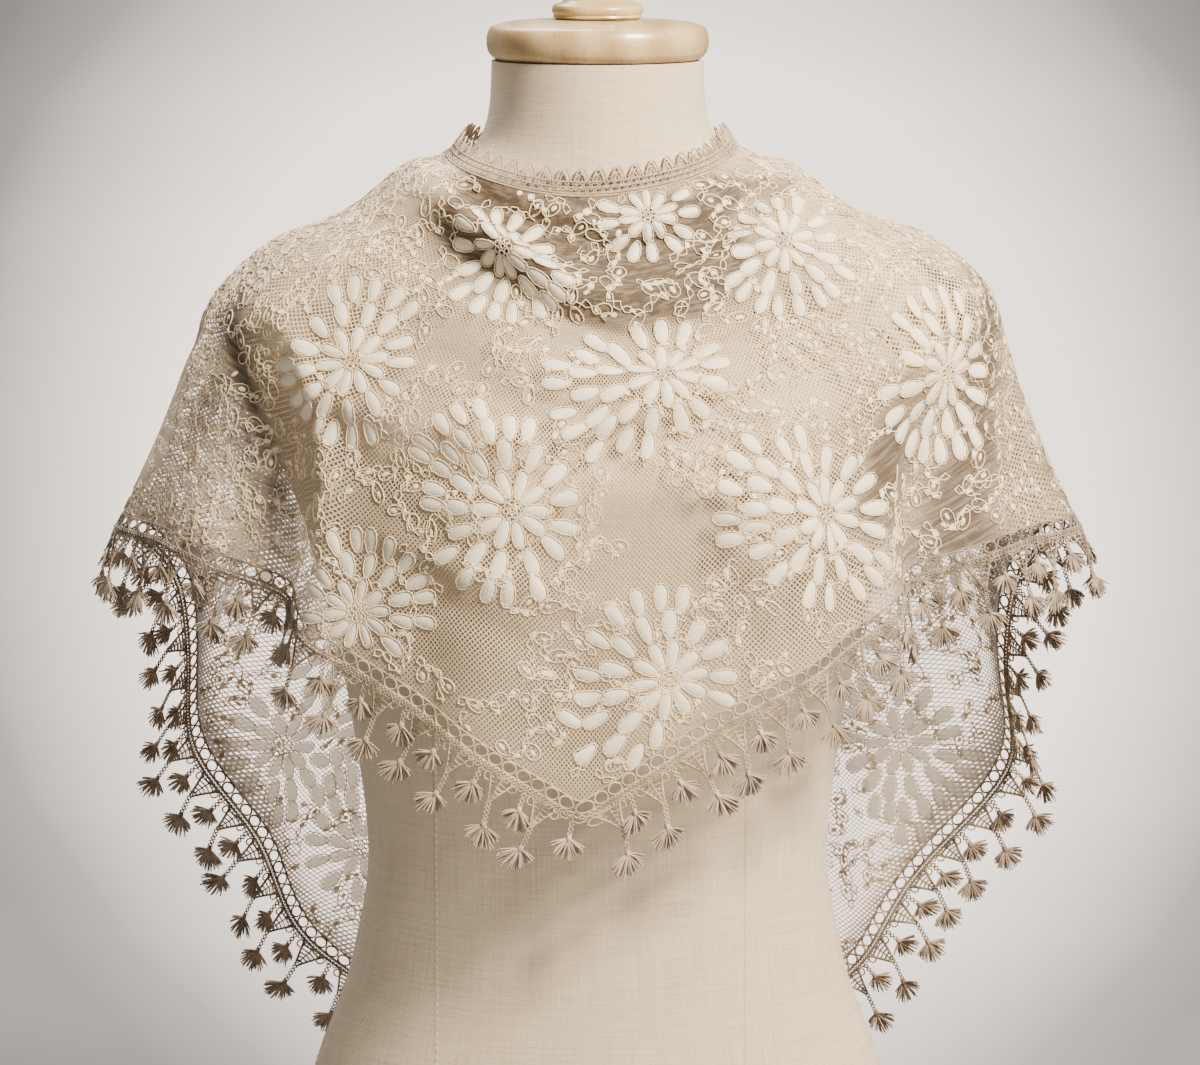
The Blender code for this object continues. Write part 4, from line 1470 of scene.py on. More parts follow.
@dataclass
class ScrollWork:
    """Wandering vines of thin cord between the flowers, with leaf loops and small filled dots."""

    cloth: ClothMap
    flowers: list[Flower]
    petals: Crowd
    seed: int = 5
    vines: int = 16
    loose: int = 4200
    stride: float = 0.0026
    steps: Place = (10, 36)
    cord: float = 0.00038
    petal_clear: float = 0.0062
    vine_clear: float = 0.0060
    leaf_clear: float = 0.0068
    leaf: Place = (0.0105, 0.0062)
    swing: float = 0.0021
    front_angle: float = 77.0
    raised: float = 0.0003
    # How far from a flower's middle its vines start, least and most
    start_off: Place = (0.037, 0.046)
    # Half a dot's length and half its width, least and most, and how far its rim and middle stand out
    dot_length: Place = (0.0014, 0.0026)
    dot_width: Place = (0.0009, 0.0015)
    dot_raised: Place = (0.0002, 0.0008)
    # How a vine's cords cross, step by step, and how its way bends: by how much, how often, how unevenly
    wave_step: float = 1.35
    bend: Triple = (0.50, 0.7, 0.14)
    dot_chance: float = 0.42
    leaf_dot_chance: float = 0.7
    steps_to_leaf: int = 5
    # The turns that a vine tries one by one when its way is blocked
    swerves: tuple[float, ...] = (0.0, 0.5, -0.5, 1.0, -1.0)
    # Where the net is left plain in front: angle, height, how far round
    plain: tuple[Triple, ...] = (
        (14, 0.503, 0.030), (-38, 0.592, 0.019), (-25, 0.436, 0.026), (38, 0.588, 0.018),
        (-48, 0.500, 0.020), (-4, 0.596, 0.015), (38, 0.450, 0.015), (-12, 0.560, 0.014),
        (62, 0.530, 0.014),
    )

    def __post_init__(self) -> None:
        """Starts with no vines and no leaves."""
        self.lines, self.leaves = Crowd(), Crowd()
        self.cords = {True: CordSet("scroll_cords_front"), False: CordSet("scroll_cords_back")}
        self.dots = bmesh.new()
        self.rng = random.Random(self.seed)
        self.patches = [
            (self.cloth.spot(self.cloth.find(angle, height)), reach) for angle, height, reach in self.plain
        ]

    def build(self) -> tuple[bpy.types.Object, bpy.types.Object, bpy.types.Object]:
        """Builds the vines.

        Returns:
            The cords in front, the cords behind and the dots.
        """
        rng = self.rng
        starts = []
        for flower in self.flowers:
            centre = self.cloth.find(flower.angle, flower.height)
            for k in range(self.vines):
                turn = math.tau * (k + rng.uniform(-0.3, 0.3)) / self.vines
                place = self.cloth.walk(centre, turn, rng.uniform(*self.start_off))
                if place is not None:
                    starts.append((place, turn + rng.choice((-1, 1)) * rng.uniform(0.6, 1.5)))
        for _ in range(self.loose):
            place = (rng.uniform(0, self.cloth.columns), rng.uniform(0, self.cloth.rows))
            starts.append((place, rng.uniform(0, math.tau)))
        for place, heading in starts:
            self._vine(place, heading)
        front, back = self.cords[True].build(), self.cords[False].build()
        return front, back, from_bmesh("scroll_dots", self.dots, 60.0)

    def _free(self, place: Place) -> bool:
        """Returns whether a place is clear of petals and of other vines."""
        spot = self.cloth.spot(place)
        if any((spot - middle).length < reach for middle, reach in self.patches):
            return False
        return self.petals.clear(spot, self.petal_clear) and self.lines.clear(spot, self.vine_clear)

    def _side(self, place: Place) -> CordSet:
        """Returns the cords that a place belongs to."""
        angle = (2 * place[0] / self.cloth.columns - 1) * self.cloth.drape.last_angle
        return self.cords[abs(angle) < self.front_angle]

    def _vine(self, start: Place, heading: float) -> None:
        """Lets one vine wander from a place, with leaf loops to each side in turn."""
        rng = self.rng
        place, spots = start, []
        paths: dict[int, list[Vector]] = {1: [], -1: []}
        drift, side = rng.uniform(0, math.tau), rng.choice((-1, 1))
        bend, often, uneven = self.bend
        for step in range(int(rng.uniform(*self.steps))):
            if not self._free(place):
                break
            swing = self.swing * math.sin(step * self.wave_step) * rng.uniform(0.8, 1.2)
            pair = [self.cloth.lay(place, heading, 0.0, way * swing, self.raised) for way in paths]
            if None in pair:
                break
            for way, point in zip(paths, pair):
                paths[way].append(point)
            spots.append(self.cloth.spot(place))
            heading += bend * math.sin(drift + step * often) + rng.uniform(-uneven, uneven)
            if step % 2 and rng.random() < self.dot_chance:
                self._dot(place, heading, self.stride * 0.4)
            if step % self.steps_to_leaf == 2:
                side = -side
                self._leaf(place, heading + side * rng.uniform(0.7, 1.2))
            for swerve in self.swerves:
                reached = self.cloth.walk(place, heading + swerve, self.stride)
                if reached is not None and self._free(reached):
                    heading += swerve
                    break
            if reached is None:
                break
            place = reached
        for way, path in paths.items():
            if len(path) > 2:
                self._side(start).add(path, self.cord)
        for spot in spots:
            self.lines.add(spot)

    def _leaf(self, place: Place, turn: float) -> None:
        """Adds a leaf loop that grows from a place, with one or two dots in it."""
        rng = self.rng
        length, width = (size * rng.uniform(0.82, 1.18) for size in self.leaf)
        middle = self.cloth.walk(place, turn, length * 0.58)
        if middle is None:
            return
        spot = self.cloth.spot(middle)
        if not (self.petals.clear(spot, self.petal_clear) and self.leaves.clear(spot, self.leaf_clear)):
            return
        self.leaves.add(spot)
        loop = []
        for bend in around(11):
            along = length * (1 - math.cos(bend)) / 2
            aside = width / 2 * math.sin(bend) * (0.75 + 0.25 * (1 - math.cos(bend)))
            loop.append(self.cloth.lay(place, turn, along, aside, self.raised))
        self._side(place).add(loop, self.cord, closed=True)
        if rng.random() < self.leaf_dot_chance:
            self._dot(place, turn, length * 0.62)

    def _dot(self, place: Place, turn: float, along: float) -> None:
        """Adds a small filled dot on the cloth."""
        half = [self.rng.uniform(*size) for size in (self.dot_length, self.dot_width)]
        low, high = self.dot_raised
        ring = [
            self.cloth.lay(place, turn, *spot, low) for spot in oval(around(7), *half, (along, 0.0))
        ]
        middle = self.cloth.lay(place, turn, along, 0.0, high)
        if middle is None or any(point is None for point in ring):
            return
        face = self.dots.faces.new([self.dots.verts.new(point) for point in ring])
        poked = bmesh.ops.poke(self.dots, faces=[face])
        poked["verts"][0].co = middle


class Fall(Enum):
    """How far a lock turns down from square to the hem."""

    LONG = 0.85
    SHORT = 0.35


@dataclass
class Tassel:
    """A fluffy tassel: a twisted stem, a bound head and cut threads that open like a shell."""

    stem: float
    length: float
    opening: float = 1.42
    depth: float = 0.30
    threads: int = 34
    head: float = 0.0016
    thread: float = 0.00044
    links: int = 5
    link_half: float = 0.0014
    stem_cord: float = 0.00050
    # How far it may sway across and out, and how far its threads droop at their tips
    sway: Place = (0.35, 0.12)
    droop: float = 0.16
    # The head: how far down in its own radii, how thick there
    head_swell: tuple[Place, ...] = ((-0.6, 0.5), (0.2, 1.0), (1.2, 1.05), (2.0, 0.7))
    # A thread: share of its length, how thick there
    thread_swell: tuple[Place, ...] = ((0.0, 1.5), (0.35, 1.35), (0.7, 1.15), (1.0, 0.8))

    def build(
        self, start: Vector, axis: Vector, across: Vector, out: Vector, stems: CordSet, fluff: CordSet,
        rng: random.Random,
    ) -> None:
        """Adds the tassel.

        Args:
            start: Where its stem leaves the edging.
            axis: The way it hangs.
            across: The way it is wide.
            out: The way it is thick.
            stems: Takes the stem and head.
            fluff: Takes the threads.
            rng: Source of unevenness.
        """
        aside, outward_sway = (rng.uniform(-most, most) for most in self.sway)
        hang = (axis + (across * aside + out * outward_sway)).normalized()
        neck = start + axis * self.stem * 0.5 + hang * self.stem * 0.5
        for side in (-1, 1):
            chain = [start]
            for k in range(1, 2 * self.links):
                share = k / (2 * self.links)
                wave = side * self.link_half * math.sin(math.pi * self.links * share)
                chain.append(start.lerp(neck, share) + across * wave)
            stems.add(chain + [neck], self.stem_cord)
        knot = [neck + hang * (self.head * down) for down, _ in self.head_swell]
        stems.add(knot, self.head, swell=[thick for _, thick in self.head_swell])
        root = neck + hang * self.head
        for k in range(self.threads):
            fan = 2 * (k + rng.uniform(0.1, 0.9)) / self.threads - 1
            turn = self.opening * fan
            thick = out * (self.depth * rng.uniform(-1, 1))
            way = hang * math.cos(turn) + across * math.sin(turn) + thick
            reach = self.length * (1 - 0.10 * fan * fan) * rng.uniform(0.84, 1.06)
            points = [
                root + way * (reach * share) + hang * (reach * self.droop * share * share)
                for share, _ in self.thread_swell
            ]
            fluff.add(points, self.thread, swell=[thick for _, thick in self.thread_swell])


@dataclass
class HemEdging:
    """The lace edging of the two short edges: open rings, a braid, fans, loops and tassels."""

    line: EdgeLine
    pitch: float = 0.026
    seed: int = 3
    fan_base: float = 0.0094
    fan_tip: float = 0.0238
    fan_half: float = 0.0066
    # Cords along the whole edge: how far off it they lie, their radius
    braid: tuple[Place, ...] = ((-0.0004, 0.00055), (0.0064, 0.00075), (0.0088, 0.00075))
    braid_step: float = 0.004
    # The braid's zigzag: how far off its middle lies, half its width, its step along the edge, its radius
    zigzag: tuple[float, float, float, float] = (0.0076, 0.0009, 0.0012, 0.00055)
    # Bars across a fan, as shares of the way to its tip
    bars: tuple[float, ...] = (0.14, 0.30, 0.46, 0.62, 0.78)
    # Rings, arches and a fan's base loops: half their width, half their depth, their radius
    ring: Triple = (0.0038, 0.0031, 0.00062)
    arch: Triple = (0.0017, 0.0021, 0.00045)
    base_loop: Triple = (0.0022, 0.0024, 0.00048)
    arch_off: float = 0.0088
    fan_cord: float = 0.00072
    bar_cord: float = 0.00046
    spine_cord: float = 0.00042
    # Where a short tassel hangs: how far along its pitch and off the edge
    short_place: Place = (0.0006, 0.0104)
    long_tassel: Tassel = field(default_factory=lambda: Tassel(0.0115, 0.0106))
    short_tassel: Tassel = field(default_factory=lambda: Tassel(0.0080, 0.0098, threads=30, links=3))

    def build(self) -> tuple[bpy.types.Object, bpy.types.Object]:
        """Builds the edging.

        Returns:
            The edging with the tassels' stems, and the tassels' threads.
        """
        rng = random.Random(self.seed)
        lace, fluff = CordSet("hem_lace"), CordSet("hem_tassels")
        count = round(self.line.length / self.pitch)
        pitch = self.line.length / count
        self._braid(lace)
        for module in range(count):
            start = module * pitch
            self._rings(start, pitch, lace)
            self._fan(start + pitch / 2, lace)
            along, off = self.short_place
            self._hang(start + pitch / 2, self.fan_tip, self.long_tassel, Fall.LONG, lace, fluff, rng)
            self._hang(start + along, off, self.short_tassel, Fall.SHORT, lace, fluff, rng)
        return lace.build(), fluff.build()

    def _path(self, points: Iterable[tuple[float, float]], raised: float = 0.0) -> list[Optional[Vector]]:
        """Returns a path of places along and off the edge; None past either end of it."""
        return [
            self.line.place(along, off, raised) if 0 <= along <= self.line.length else None
            for along, off in points
        ]

    def _braid(self, lace: CordSet) -> None:
        """Adds the cords that run the whole length of the edge."""
        length = self.line.length
        steps = int(length / self.braid_step)
        stops = [length * k / steps for k in range(steps + 1)]
        for off, radius in self.braid:
            lace.add(self._path((along, off) for along in stops), radius)
        middle, half, step, radius = self.zigzag
        steps = int(length / step)
        bends = ((length * k / steps, middle + half * (1 if k % 2 else -1)) for k in range(steps + 1))
        lace.add(self._path(bends, 0.0004), radius)

    def _rings(self, start: float, pitch: float, lace: CordSet) -> None:
        """Adds a pitch of the open rings under the cloth and the small loops on the braid."""
        for k in range(3):
            middle = start + pitch * (k + 0.5) / 3
            wide, deep, radius = self.ring
            lace.add(self._path(oval(around(12), wide, deep, (middle, deep))), radius, closed=True)
        for k in range(6):
            middle = start + pitch * (k + 0.5) / 6
            wide, deep, radius = self.arch
            arch = oval(HALF_OVAL, wide, deep, (middle, self.arch_off))
            lace.add(self._path(arch, 0.0002), radius)

    def _fan(self, middle: float, lace: CordSet) -> None:
        """Adds a three-cornered fan: two curved sides, bars, a zigzag between them and base loops."""
        base, depth, half = self.fan_base, self.fan_tip - self.fan_base, self.fan_half

        def width(share: float) -> float:
            """Returns half the fan's width at a share of the way to its tip."""
            return half * (1 - share) ** 1.2 + 0.0006

        for side in (-1, 1):
            edge = [(middle + side * width(k / 7), base + depth * k / 7) for k in range(8)]
            lace.add(self._path(edge), self.fan_cord)
            wide, deep, radius = self.base_loop
            corner = (middle + side * (half + 0.0006), base + 0.0026)
            lace.add(self._path(oval(around(8), side * wide, deep, corner)), radius, closed=True)
        for share in self.bars:
            bow = [
                (middle + width(share) * t, base + depth * (share - 0.06 * (1 - t * t))) for t in (-1, 0, 1)
            ]
            lace.add(self._path(bow), self.bar_cord)
        zigzag = [
            (middle + width(k / 11) * 0.86 * (1 if k % 2 else -1), base + depth * k / 11) for k in range(10)
        ]
        spine = [(middle, base), (middle, base + depth * 0.9)]
        lace.add(self._path(zigzag, 0.0003), self.spine_cord)
        lace.add(self._path(spine, 0.0002), self.spine_cord)

    def _hang(
        self, along: float, off: float, tassel: Tassel, fall: Fall, lace: CordSet, fluff: CordSet,
        rng: random.Random,
    ) -> None:
        """Hangs a tassel from the edging."""
        _, away, out = self.line.at(along)
        axis = (away + Vector((0, 0, -fall.value))).normalized()
        out = (out - axis * out.dot(axis)).normalized()
        tassel.build(self.line.place(along, off), axis, out.cross(axis), out, lace, fluff, rng)


@dataclass
class PicotEdging:
    """The pointed loops of the long edge: two cords, eyelets and a drop loop at each pitch."""

    lines: list[tuple[EdgeLine, float, float]]
    pitch: float = 0.0098
    band: float = 0.0068
    # The pointed loop and the one in it: half width, how far off the edge its tip lies, radius
    loops: tuple[Triple, ...] = ((0.0040, 0.0150, 0.00064), (0.0020, 0.0118, 0.00046))
    # Eyelets and arches: half their width, half their depth, their radius
    eyelet: Triple = (0.0018, 0.0014, 0.00040)
    arch: Triple = (0.0015, 0.0024, 0.00046)
    # Cords along the edge: how far off it they lie, their radius
    braid: tuple[Place, ...] = ((-0.0003, 0.00060), (0.0010, 0.00048), (0.0040, 0.00050), (0.0070, 0.00058))
    eyelet_pitch: float = 0.0042
    # The two rows of eyelets between the cords: how far off the edge
    eyelet_rows: Place = (0.0026, 0.0055)
    # A pointed loop's outline, as shares of its half width
    shares: tuple[float, ...] = (-1.0, -0.92, -0.66, -0.30, 0.0, 0.30, 0.66, 0.92, 1.0)

    def build(self) -> bpy.types.Object:
        """Returns the edging as one mesh."""
        lace = CordSet("picot_lace")
        for line, start, stop in self.lines:
            count = max(1, round((stop - start) / self.pitch))
            pitch = (stop - start) / count
            self._cords(line, start, stop, lace)
            for k in range(count):
                self._loop(line, start + pitch * (k + 0.5), pitch, lace)
        return lace.build()

    def _cords(self, line: EdgeLine, start: float, stop: float, lace: CordSet) -> None:
        """Adds the cords along an edge and the eyelets between them."""
        steps = max(2, int((stop - start) / 0.003))
        stops = [start + (stop - start) * k / steps for k in range(steps + 1)]
        for off, radius in self.braid:
            lace.add([line.place(along, off, 0.0002) for along in stops], radius)
        count = int((stop - start) / self.eyelet_pitch)
        for k in range(2 * count):
            middle = start + (stop - start) * (k / 2 + 0.5) / count
            wide, deep, radius = self.eyelet
            ring = oval(around(6), wide, deep, (middle, self.eyelet_rows[k % 2]))
            lace.add(self._path(line, ring, 0.0002), radius, closed=True)

    def _loop(self, line: EdgeLine, middle: float, pitch: float, lace: CordSet) -> None:
        """Adds a pointed loop with a smaller one in it, and the picots beside it."""
        for half, top, radius in self.loops:
            outline = [
                (
                    middle + half * math.copysign(abs(share) ** 0.75, share),
                    self.band + (top - self.band) * (1 - abs(share)) ** 0.7,
                )
                for share in self.shares
            ]
            lace.add(self._path(line, outline, 0.0003), radius)
        for side in (-1, 1):
            wide, deep, radius = self.arch
            arch = oval(HALF_OVAL, wide, deep, (middle + side * pitch / 2, self.band))
            lace.add(self._path(line, arch, 0.0002), radius)

    @staticmethod
    def _path(line: EdgeLine, places: Iterable[Place], raised: float) -> list[Vector]:
        """Returns a path of places along and off an edge, held to its two ends."""
        return [line.place(min(max(along, 0.0), line.length), off, raised) for along, off in places]


@dataclass
class Torso:
    """The linen torso: its skin, its seams and their stitches."""

    shape: TorsoShape
    columns: int = 180
    # Curved seams: how far to the side, in front or behind, height of the top
    curved_seams: tuple[tuple[float, bool, float], ...] = (
        (-0.088, True, 0.640), (0.079, True, 0.640), (-0.070, False, 0.655), (0.070, False, 0.655),
    )
    # Straight seams: angle, height of the top
    straight_seams: tuple[Place, ...] = ((-90.0, 0.60), (90.0, 0.60), (180.0, 0.69))
    seam_foot: float = 0.006
    stitch: float = 0.0026
    stitch_pitch: float = 0.0040
    stitch_aside: float = 0.0016
    # The skin's rings above the underside's rounded edge
    edge_rings: tuple[float, ...] = (0.0, 0.004, 0.012)
    first_ring: float = 0.02
    ring_step: float = 0.0065
    rings: int = 110
    # The radius that the linen is laid out flat by
    flat_radius: float = 0.14

    def build(self) -> bpy.types.Object:
        """Returns the skin: a circle raised ring by ring and closed at both ends."""
        bm = bmesh.new()
        layer = bm.verts.layers.float_vector.new("cloth")
        heights = [self.first_ring + self.ring_step * k for k in range(self.rings)]
        bmesh.ops.create_circle(bm, cap_ends=False, segments=self.columns, radius=1.0)
        verts, edges = list(bm.verts), list(bm.edges)
        first_edges = edges
        for index, height in enumerate([*self.edge_rings, *heights, self.shape.top]):
            if index:
                verts, edges = extruded(bm, edges)
            for vert in verts:
                turn = angle_of(vert.co)
                vert.co = self.shape.skin(turn, height)
                vert[layer] = Vector((math.radians(turn) * self.flat_radius, height, 0.0))
        bmesh.ops.holes_fill(bm, edges=first_edges, sides=0)
        bmesh.ops.holes_fill(bm, edges=edges, sides=0)
        bmesh.ops.recalc_face_normals(bm, faces=bm.faces)
        return from_bmesh("torso", bm, 60.0)

    def _seam_angle(self, aside: float, front: bool, height: float) -> float:
        """Returns the angle where the skin lies this far to the side."""
        low, high = 0.0, 90.0
        for _ in range(24):
            middle = (low + high) / 2
            angle = middle if front else 180 - middle
            if self.shape.radius(angle, height) * math.sin(math.radians(angle)) < abs(aside):
                low = middle
            else:
                high = middle
        angle = low if front else 180 - low
        return math.copysign(angle, aside)

    def seams(self) -> tuple[bpy.types.Object, bpy.types.Object]:
        """Builds the seams.

        Returns:
            The sunk lines and the stitches beside them.
        """
        lines, stitches = CordSet("seam_lines"), CordSet("seam_stitches")
        for aside, front, top in self.curved_seams:
            self._seam(lambda h, a=aside, f=front: self._seam_angle(a, f, h), top, lines, stitches)
        for angle, top in self.straight_seams:
            self._seam(lambda h, a=angle: a, top, lines, stitches)
        return lines.build(), stitches.build()

    def _seam(
        self, angle_at: Callable[[float], float], top: float, lines: CordSet, stitches: CordSet
    ) -> None:
        """Adds one seam from the underside's edge up to a height; its angle may change on the way."""
        foot = self.seam_foot
        count = int((top - foot) / 0.004)
        heights = [foot + (top - foot) * k / count for k in range(count + 1)]
        lines.add([self.shape.skin(angle_at(h), h, -0.00012) for h in heights], 0.00030)
        along = 0.010
        while along + self.stitch < top:
            path = [along, along + self.stitch / 2, along + self.stitch]
            points = []
            for height, lift in zip(path, (-0.0001, 0.00022, -0.0001)):
                angle = angle_at(height)
                angle += math.degrees(self.stitch_aside / self.shape.radius(angle, height))
                points.append(self.shape.skin(angle, height, lift))
            stitches.add(points, 0.00024)
            along += self.stitch_pitch


@dataclass
class NeckWood:
    """The turned cap and its knob."""

    top: float = 0.735
    gap: float = 0.0004
    cap_height: float = 0.0215
    segments: int = 96
    # Profiles, as radius and height: the cap under and over its rim; the knob's foot, neck and top
    cap_under: tuple[Place, ...] = ((0.0, 0.0), (0.0540, 0.0), (0.0566, 0.0012), (0.0585, 0.0036))
    cap_over: tuple[Place, ...] = ((0.0500, 0.0199), (0.0420, 0.0208), (0.0260, 0.0214), (0.0, 0.0215))
    knob_foot: tuple[Place, ...] = ((0.0, 0.0), (0.0228, 0.0), (0.0240, 0.0010))
    knob_neck: tuple[Place, ...] = (
        (0.0192, 0.0086), (0.0175, 0.0106), (0.0166, 0.0140), (0.0166, 0.0180), (0.0176, 0.0225),
    )
    knob_top: Place = (0.0, 0.0478)

    def cap(self) -> bpy.types.Object:
        """Returns the disc on the neck."""
        rim = oval(map(math.radians, range(-40, 91, 13)), 0.0043, 0.0085, (0.0555, 0.0098))
        profile = (*self.cap_under, *rim, *self.cap_over)
        return self._turned("wood_cap", self.top + self.gap, profile)

    def knob(self) -> bpy.types.Object:
        """Returns the knob: a ring, a hollow neck and a rounded head."""
        ring = oval(map(math.radians, range(-45, 91, 15)), 0.0034, 0.0036, (0.0212, 0.0046))
        head = [
            (0.0205 * math.cos(turn) ** 0.7, 0.0320 + 0.0158 * math.sin(turn))
            for turn in map(math.radians, range(-24, 85, 9))
        ]
        low = self.top + self.gap + self.cap_height + self.gap
        profile = (*self.knob_foot, *ring, *self.knob_neck, *head, self.knob_top)
        return self._turned("wood_knob", low, profile)

    def _turned(self, name: str, low: float, profile: Sequence[Place]) -> bpy.types.Object:
        """Returns a turned piece from its underside's height and its profile of radius and height."""
        bm = bmesh.new()
        chain = [bm.verts.new((radius, 0.0, low + height)) for radius, height in profile]
        edges = [bm.edges.new(pair) for pair in zip(chain, chain[1:])]
        bmesh.ops.spin(
            bm, geom=chain + edges, cent=(0, 0, 0), axis=(0, 0, 1), angle=math.tau,
            steps=self.segments, use_merge=True,
        )
        bmesh.ops.remove_doubles(bm, verts=bm.verts, dist=0.00001)
        bmesh.ops.recalc_face_normals(bm, faces=bm.faces)
        return from_bmesh(name, bm, 40.0)


@dataclass
class Studio:
    """The camera at the photograph's angle, floor and backdrop pale with painted light, and soft light."""

    pitch: float = 9.0
    distance: float = 2.4
    target: Triple = (0.0013, 0.0, 0.478)
    lens: float = 131.76
    sensor: float = 36.0
    half_width: float = 8.0
    floor_end: float = 4.8
    bend: float = 0.6
    bend_steps: int = 10
    wall_top: float = 4.0
    # Soft lights: name, place, size, power, tint
    lights: tuple[tuple[str, Triple, float, float, Colour], ...] = (
        ("key", (1.12, -1.13, 1.88), 0.45, 208.0, (1.0, 0.92, 0.77)),
        ("fill", (-1.6, -2.2, 1.2), 1.6, 12.0, (1.0, 0.97, 0.92)),
        ("back", (-0.5, 1.0, 2.2), 1.2, 70.0, (1.0, 0.98, 0.95)),
    )
    lights_aim: Triple = (0.0, 0.1, 0.5)
    world_tint: Colour = (1.0, 0.98, 0.95)
    world_strength: float = 0.205

    def camera(self) -> None:
        """Adds the camera and makes it the scene's."""
        data = bpy.data.cameras.new("camera")
        data.lens = self.lens
        data.sensor_width = self.sensor
        data.clip_end = 50.0
        camera = link("camera", data)
        tilt = math.radians(self.pitch)
        back = Vector((0.0, -math.cos(tilt), math.sin(tilt)))
        camera.location = Vector(self.target) + back * self.distance
        camera.rotation_euler = (math.radians(90 - self.pitch), 0.0, 0.0)
        bpy.context.scene.camera = camera

    def backdrop(self) -> None:
        """Adds the floor, which curves up into the backdrop behind the part."""
        bm = bmesh.new()
        bmesh.ops.create_grid(bm, x_segments=1, y_segments=1, size=self.half_width)
        for vert in bm.verts:
            vert.co.y = -self.half_width if vert.co.y < 0 else self.floor_end
        edges = [edge for edge in bm.edges if all(vert.co.y > 0 for vert in edge.verts)]
        for step in range(1, self.bend_steps + 1):
            turn = math.pi / 2 * step / self.bend_steps
            verts, edges = extruded(bm, edges)
            for vert in verts:
                vert.co.y = self.floor_end + self.bend * math.sin(turn)
                vert.co.z = self.bend * (1 - math.cos(turn))
        for vert in extruded(bm, edges)[0]:
            vert.co.z = self.wall_top
        bmesh.ops.recalc_face_normals(bm, faces=bm.faces)
        sweep = from_bmesh("backdrop", bm, 60.0)
        sweep.data.materials.append(PaperFinish().make())

    def light(self) -> None:
        """Adds a warm key from the right, two soft lights and a pale world."""
        for name, place, size, power, tint in self.lights:
            data = bpy.data.lights.new(name, "AREA")
            data.size = size
            data.energy = power
            data.color = tint
            lamp = link(name, data)
            lamp.location = place
            aim = Vector(self.lights_aim) - Vector(place)
            lamp.rotation_euler = aim.to_track_quat("-Z", "Y").to_euler()
        world = bpy.data.worlds.new("studio")
        world.use_nodes = True
        ground = world.node_tree.nodes["Background"]
        ground.inputs["Color"].default_value = opaque(self.world_tint)
        ground.inputs["Strength"].default_value = self.world_strength
        bpy.context.scene.world = world


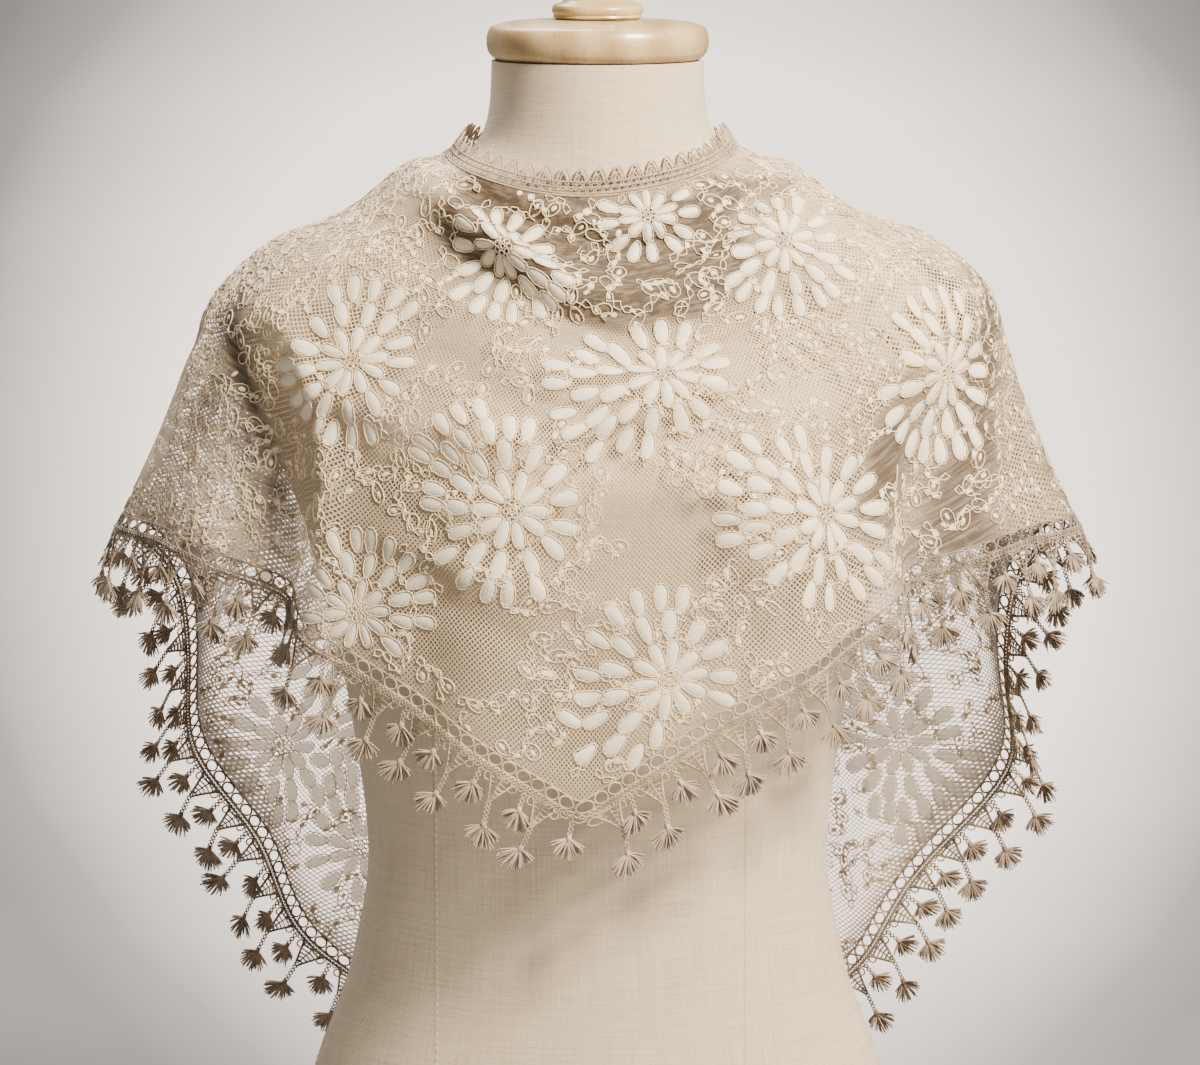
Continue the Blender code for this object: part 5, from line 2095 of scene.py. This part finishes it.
@dataclass
class VeilOnForm:
    """The dress form and, on it, the veil with all that is worked on it."""

    shape: TorsoShape = field(default_factory=TorsoShape)
    columns: int = 260
    rows: int = 150
    # How far from the neck and from the hem the picots on a free end stop
    picot_ends: Place = (0.022, 0.010)
    walls: tuple[str, ...] = (
        "veil_front", "veil_left_wing", "veil_right_wing", "veil_left_end", "veil_right_end",
    )
    picot_walls: tuple[str, ...] = (
        "edging_neck_left", "edging_neck_right", "edging_left_end", "edging_right_end",
    )
    # Paler copy of the satin petal for petals seen from inside: painted light from behind, besides real
    # see-through
    sheer_backlit: SatinFinish = SatinFinish(
        "sheer_backlit_petal", (0.92, 0.87, 0.78), (0.86, 0.79, 0.68), through=0.65, cover=0.55
    )

    def __post_init__(self) -> None:
        """Works out the cloth and starts with nothing worked on it."""
        self.cloth = ClothMap(Drape(self.shape), self.columns, self.rows)
        self.worked: list[bpy.types.Object] = []

    def build(self) -> None:
        """Builds and dresses everything."""
        skin = self.form()
        net = VeilSheet(self.cloth)
        sheet = net.build()
        dress(sheet, NetFinish().make(), Slot.LACE, *self.walls)
        self.lace()
        self.hem()
        self.picots()
        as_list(self.worked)

    def form(self) -> bpy.types.Object:
        """Builds the torso with its seams, the cap and the knob; returns the torso's skin."""
        torso = Torso(self.shape)
        skin = torso.build()
        dress(skin, LinenFinish().make(), Slot.LINEN, "dress_form")
        for piece, cord in zip(torso.seams(), (Cord.SEAM, Cord.STITCH)):
            dress(piece, cord.value.make(), Slot.LINEN)
        wood, maple = NeckWood(), MapleFinish().make()
        dress(wood.cap(), maple, Slot.WOOD, "neck_cap")
        dress(wood.knob(), maple, Slot.WOOD, "cap_knob")
        return skin

    def lace(self) -> None:
        """Works the flowers and the vines on the net."""
        work = FlowerWork(self.cloth)
        petals, petal_cords = work.build()
        # Petals behind and their undersides take the paler copy, painted as lit from behind
        satin, sheer_backlit = SatinFinish().make(), self.sheer_backlit.make()
        outline = Cord.OUTLINE.value.make()
        for piece, finish in zip((*petals, petal_cords), (satin, sheer_backlit, sheer_backlit, outline)):
            self._work(piece, finish, Slot.LACE)
        vines = ScrollWork(self.cloth, work.flowers(), work.crowd).build()
        finishes = (outline, Cord.VINE.value.make(), Cord.DOT.value.make())
        for piece, finish in zip(vines, finishes):
            self._work(piece, finish, Slot.LACE)

    def hem(self) -> None:
        """Works the edging and the tassels along the hem."""
        points, normals = self.cloth.points, self.cloth.normals
        line = EdgeLine.beside(
            [column[-1] for column in points], [column[-2] for column in points],
            [column[-1] for column in normals],
        )
        edging, tassels = HemEdging(line).build()
        fringe = (wall.replace("veil", "fringe") for wall in self.walls)
        self._work(edging, Cord.TRIM.value.make(), Slot.TRIM, *fringe)
        self._work(tassels, Cord.TASSEL.value.make(), Slot.TRIM)

    def picots(self) -> None:
        """Works the picots round the neck and down both free ends."""
        points, normals = self.cloth.points, self.cloth.normals
        neck = self._neck_line()
        start, stop = self.picot_ends
        lines = [(neck, 0.0, neck.length)]
        for edge, inner in ((0, 1), (-1, -2)):
            line = EdgeLine.beside(points[edge], points[inner], normals[edge])
            lines.append((line, start, line.length - stop))
        picots = PicotEdging(lines).build()
        self._work(picots, Cord.PICOT.value.make(), Slot.TRIM, *self.picot_walls)

    def _neck_line(self) -> EdgeLine:
        """Returns the veil's edge round the neck; off the cloth runs up along the skin."""
        drape = self.cloth.drape
        away = []
        for angle in self.cloth.angles:
            low = self.shape.skin(angle, drape.neck_edge(angle))
            away.append((self.shape.skin(angle, drape.neck_ring(angle)) - low).normalized())
        points = [column[0] for column in self.cloth.points]
        return EdgeLine(points, away, [column[0] for column in self.cloth.normals])

    def _work(
        self, piece: bpy.types.Object, material: bpy.types.Material, slot: Slot, *nodes: str
    ) -> None:
        """Dresses a piece that is worked on the veil."""
        dress(piece, material, slot, *nodes)
        self.worked.append(piece)


def main() -> None:
    """Builds, dresses and lights the veil on its form."""
    logging.basicConfig(level=logging.INFO, format="%(name)s %(message)s")
    studio = Studio()
    studio.camera()
    studio.backdrop()
    studio.light()
    VeilOnForm().build()


if __name__ == "__main__":
    main()
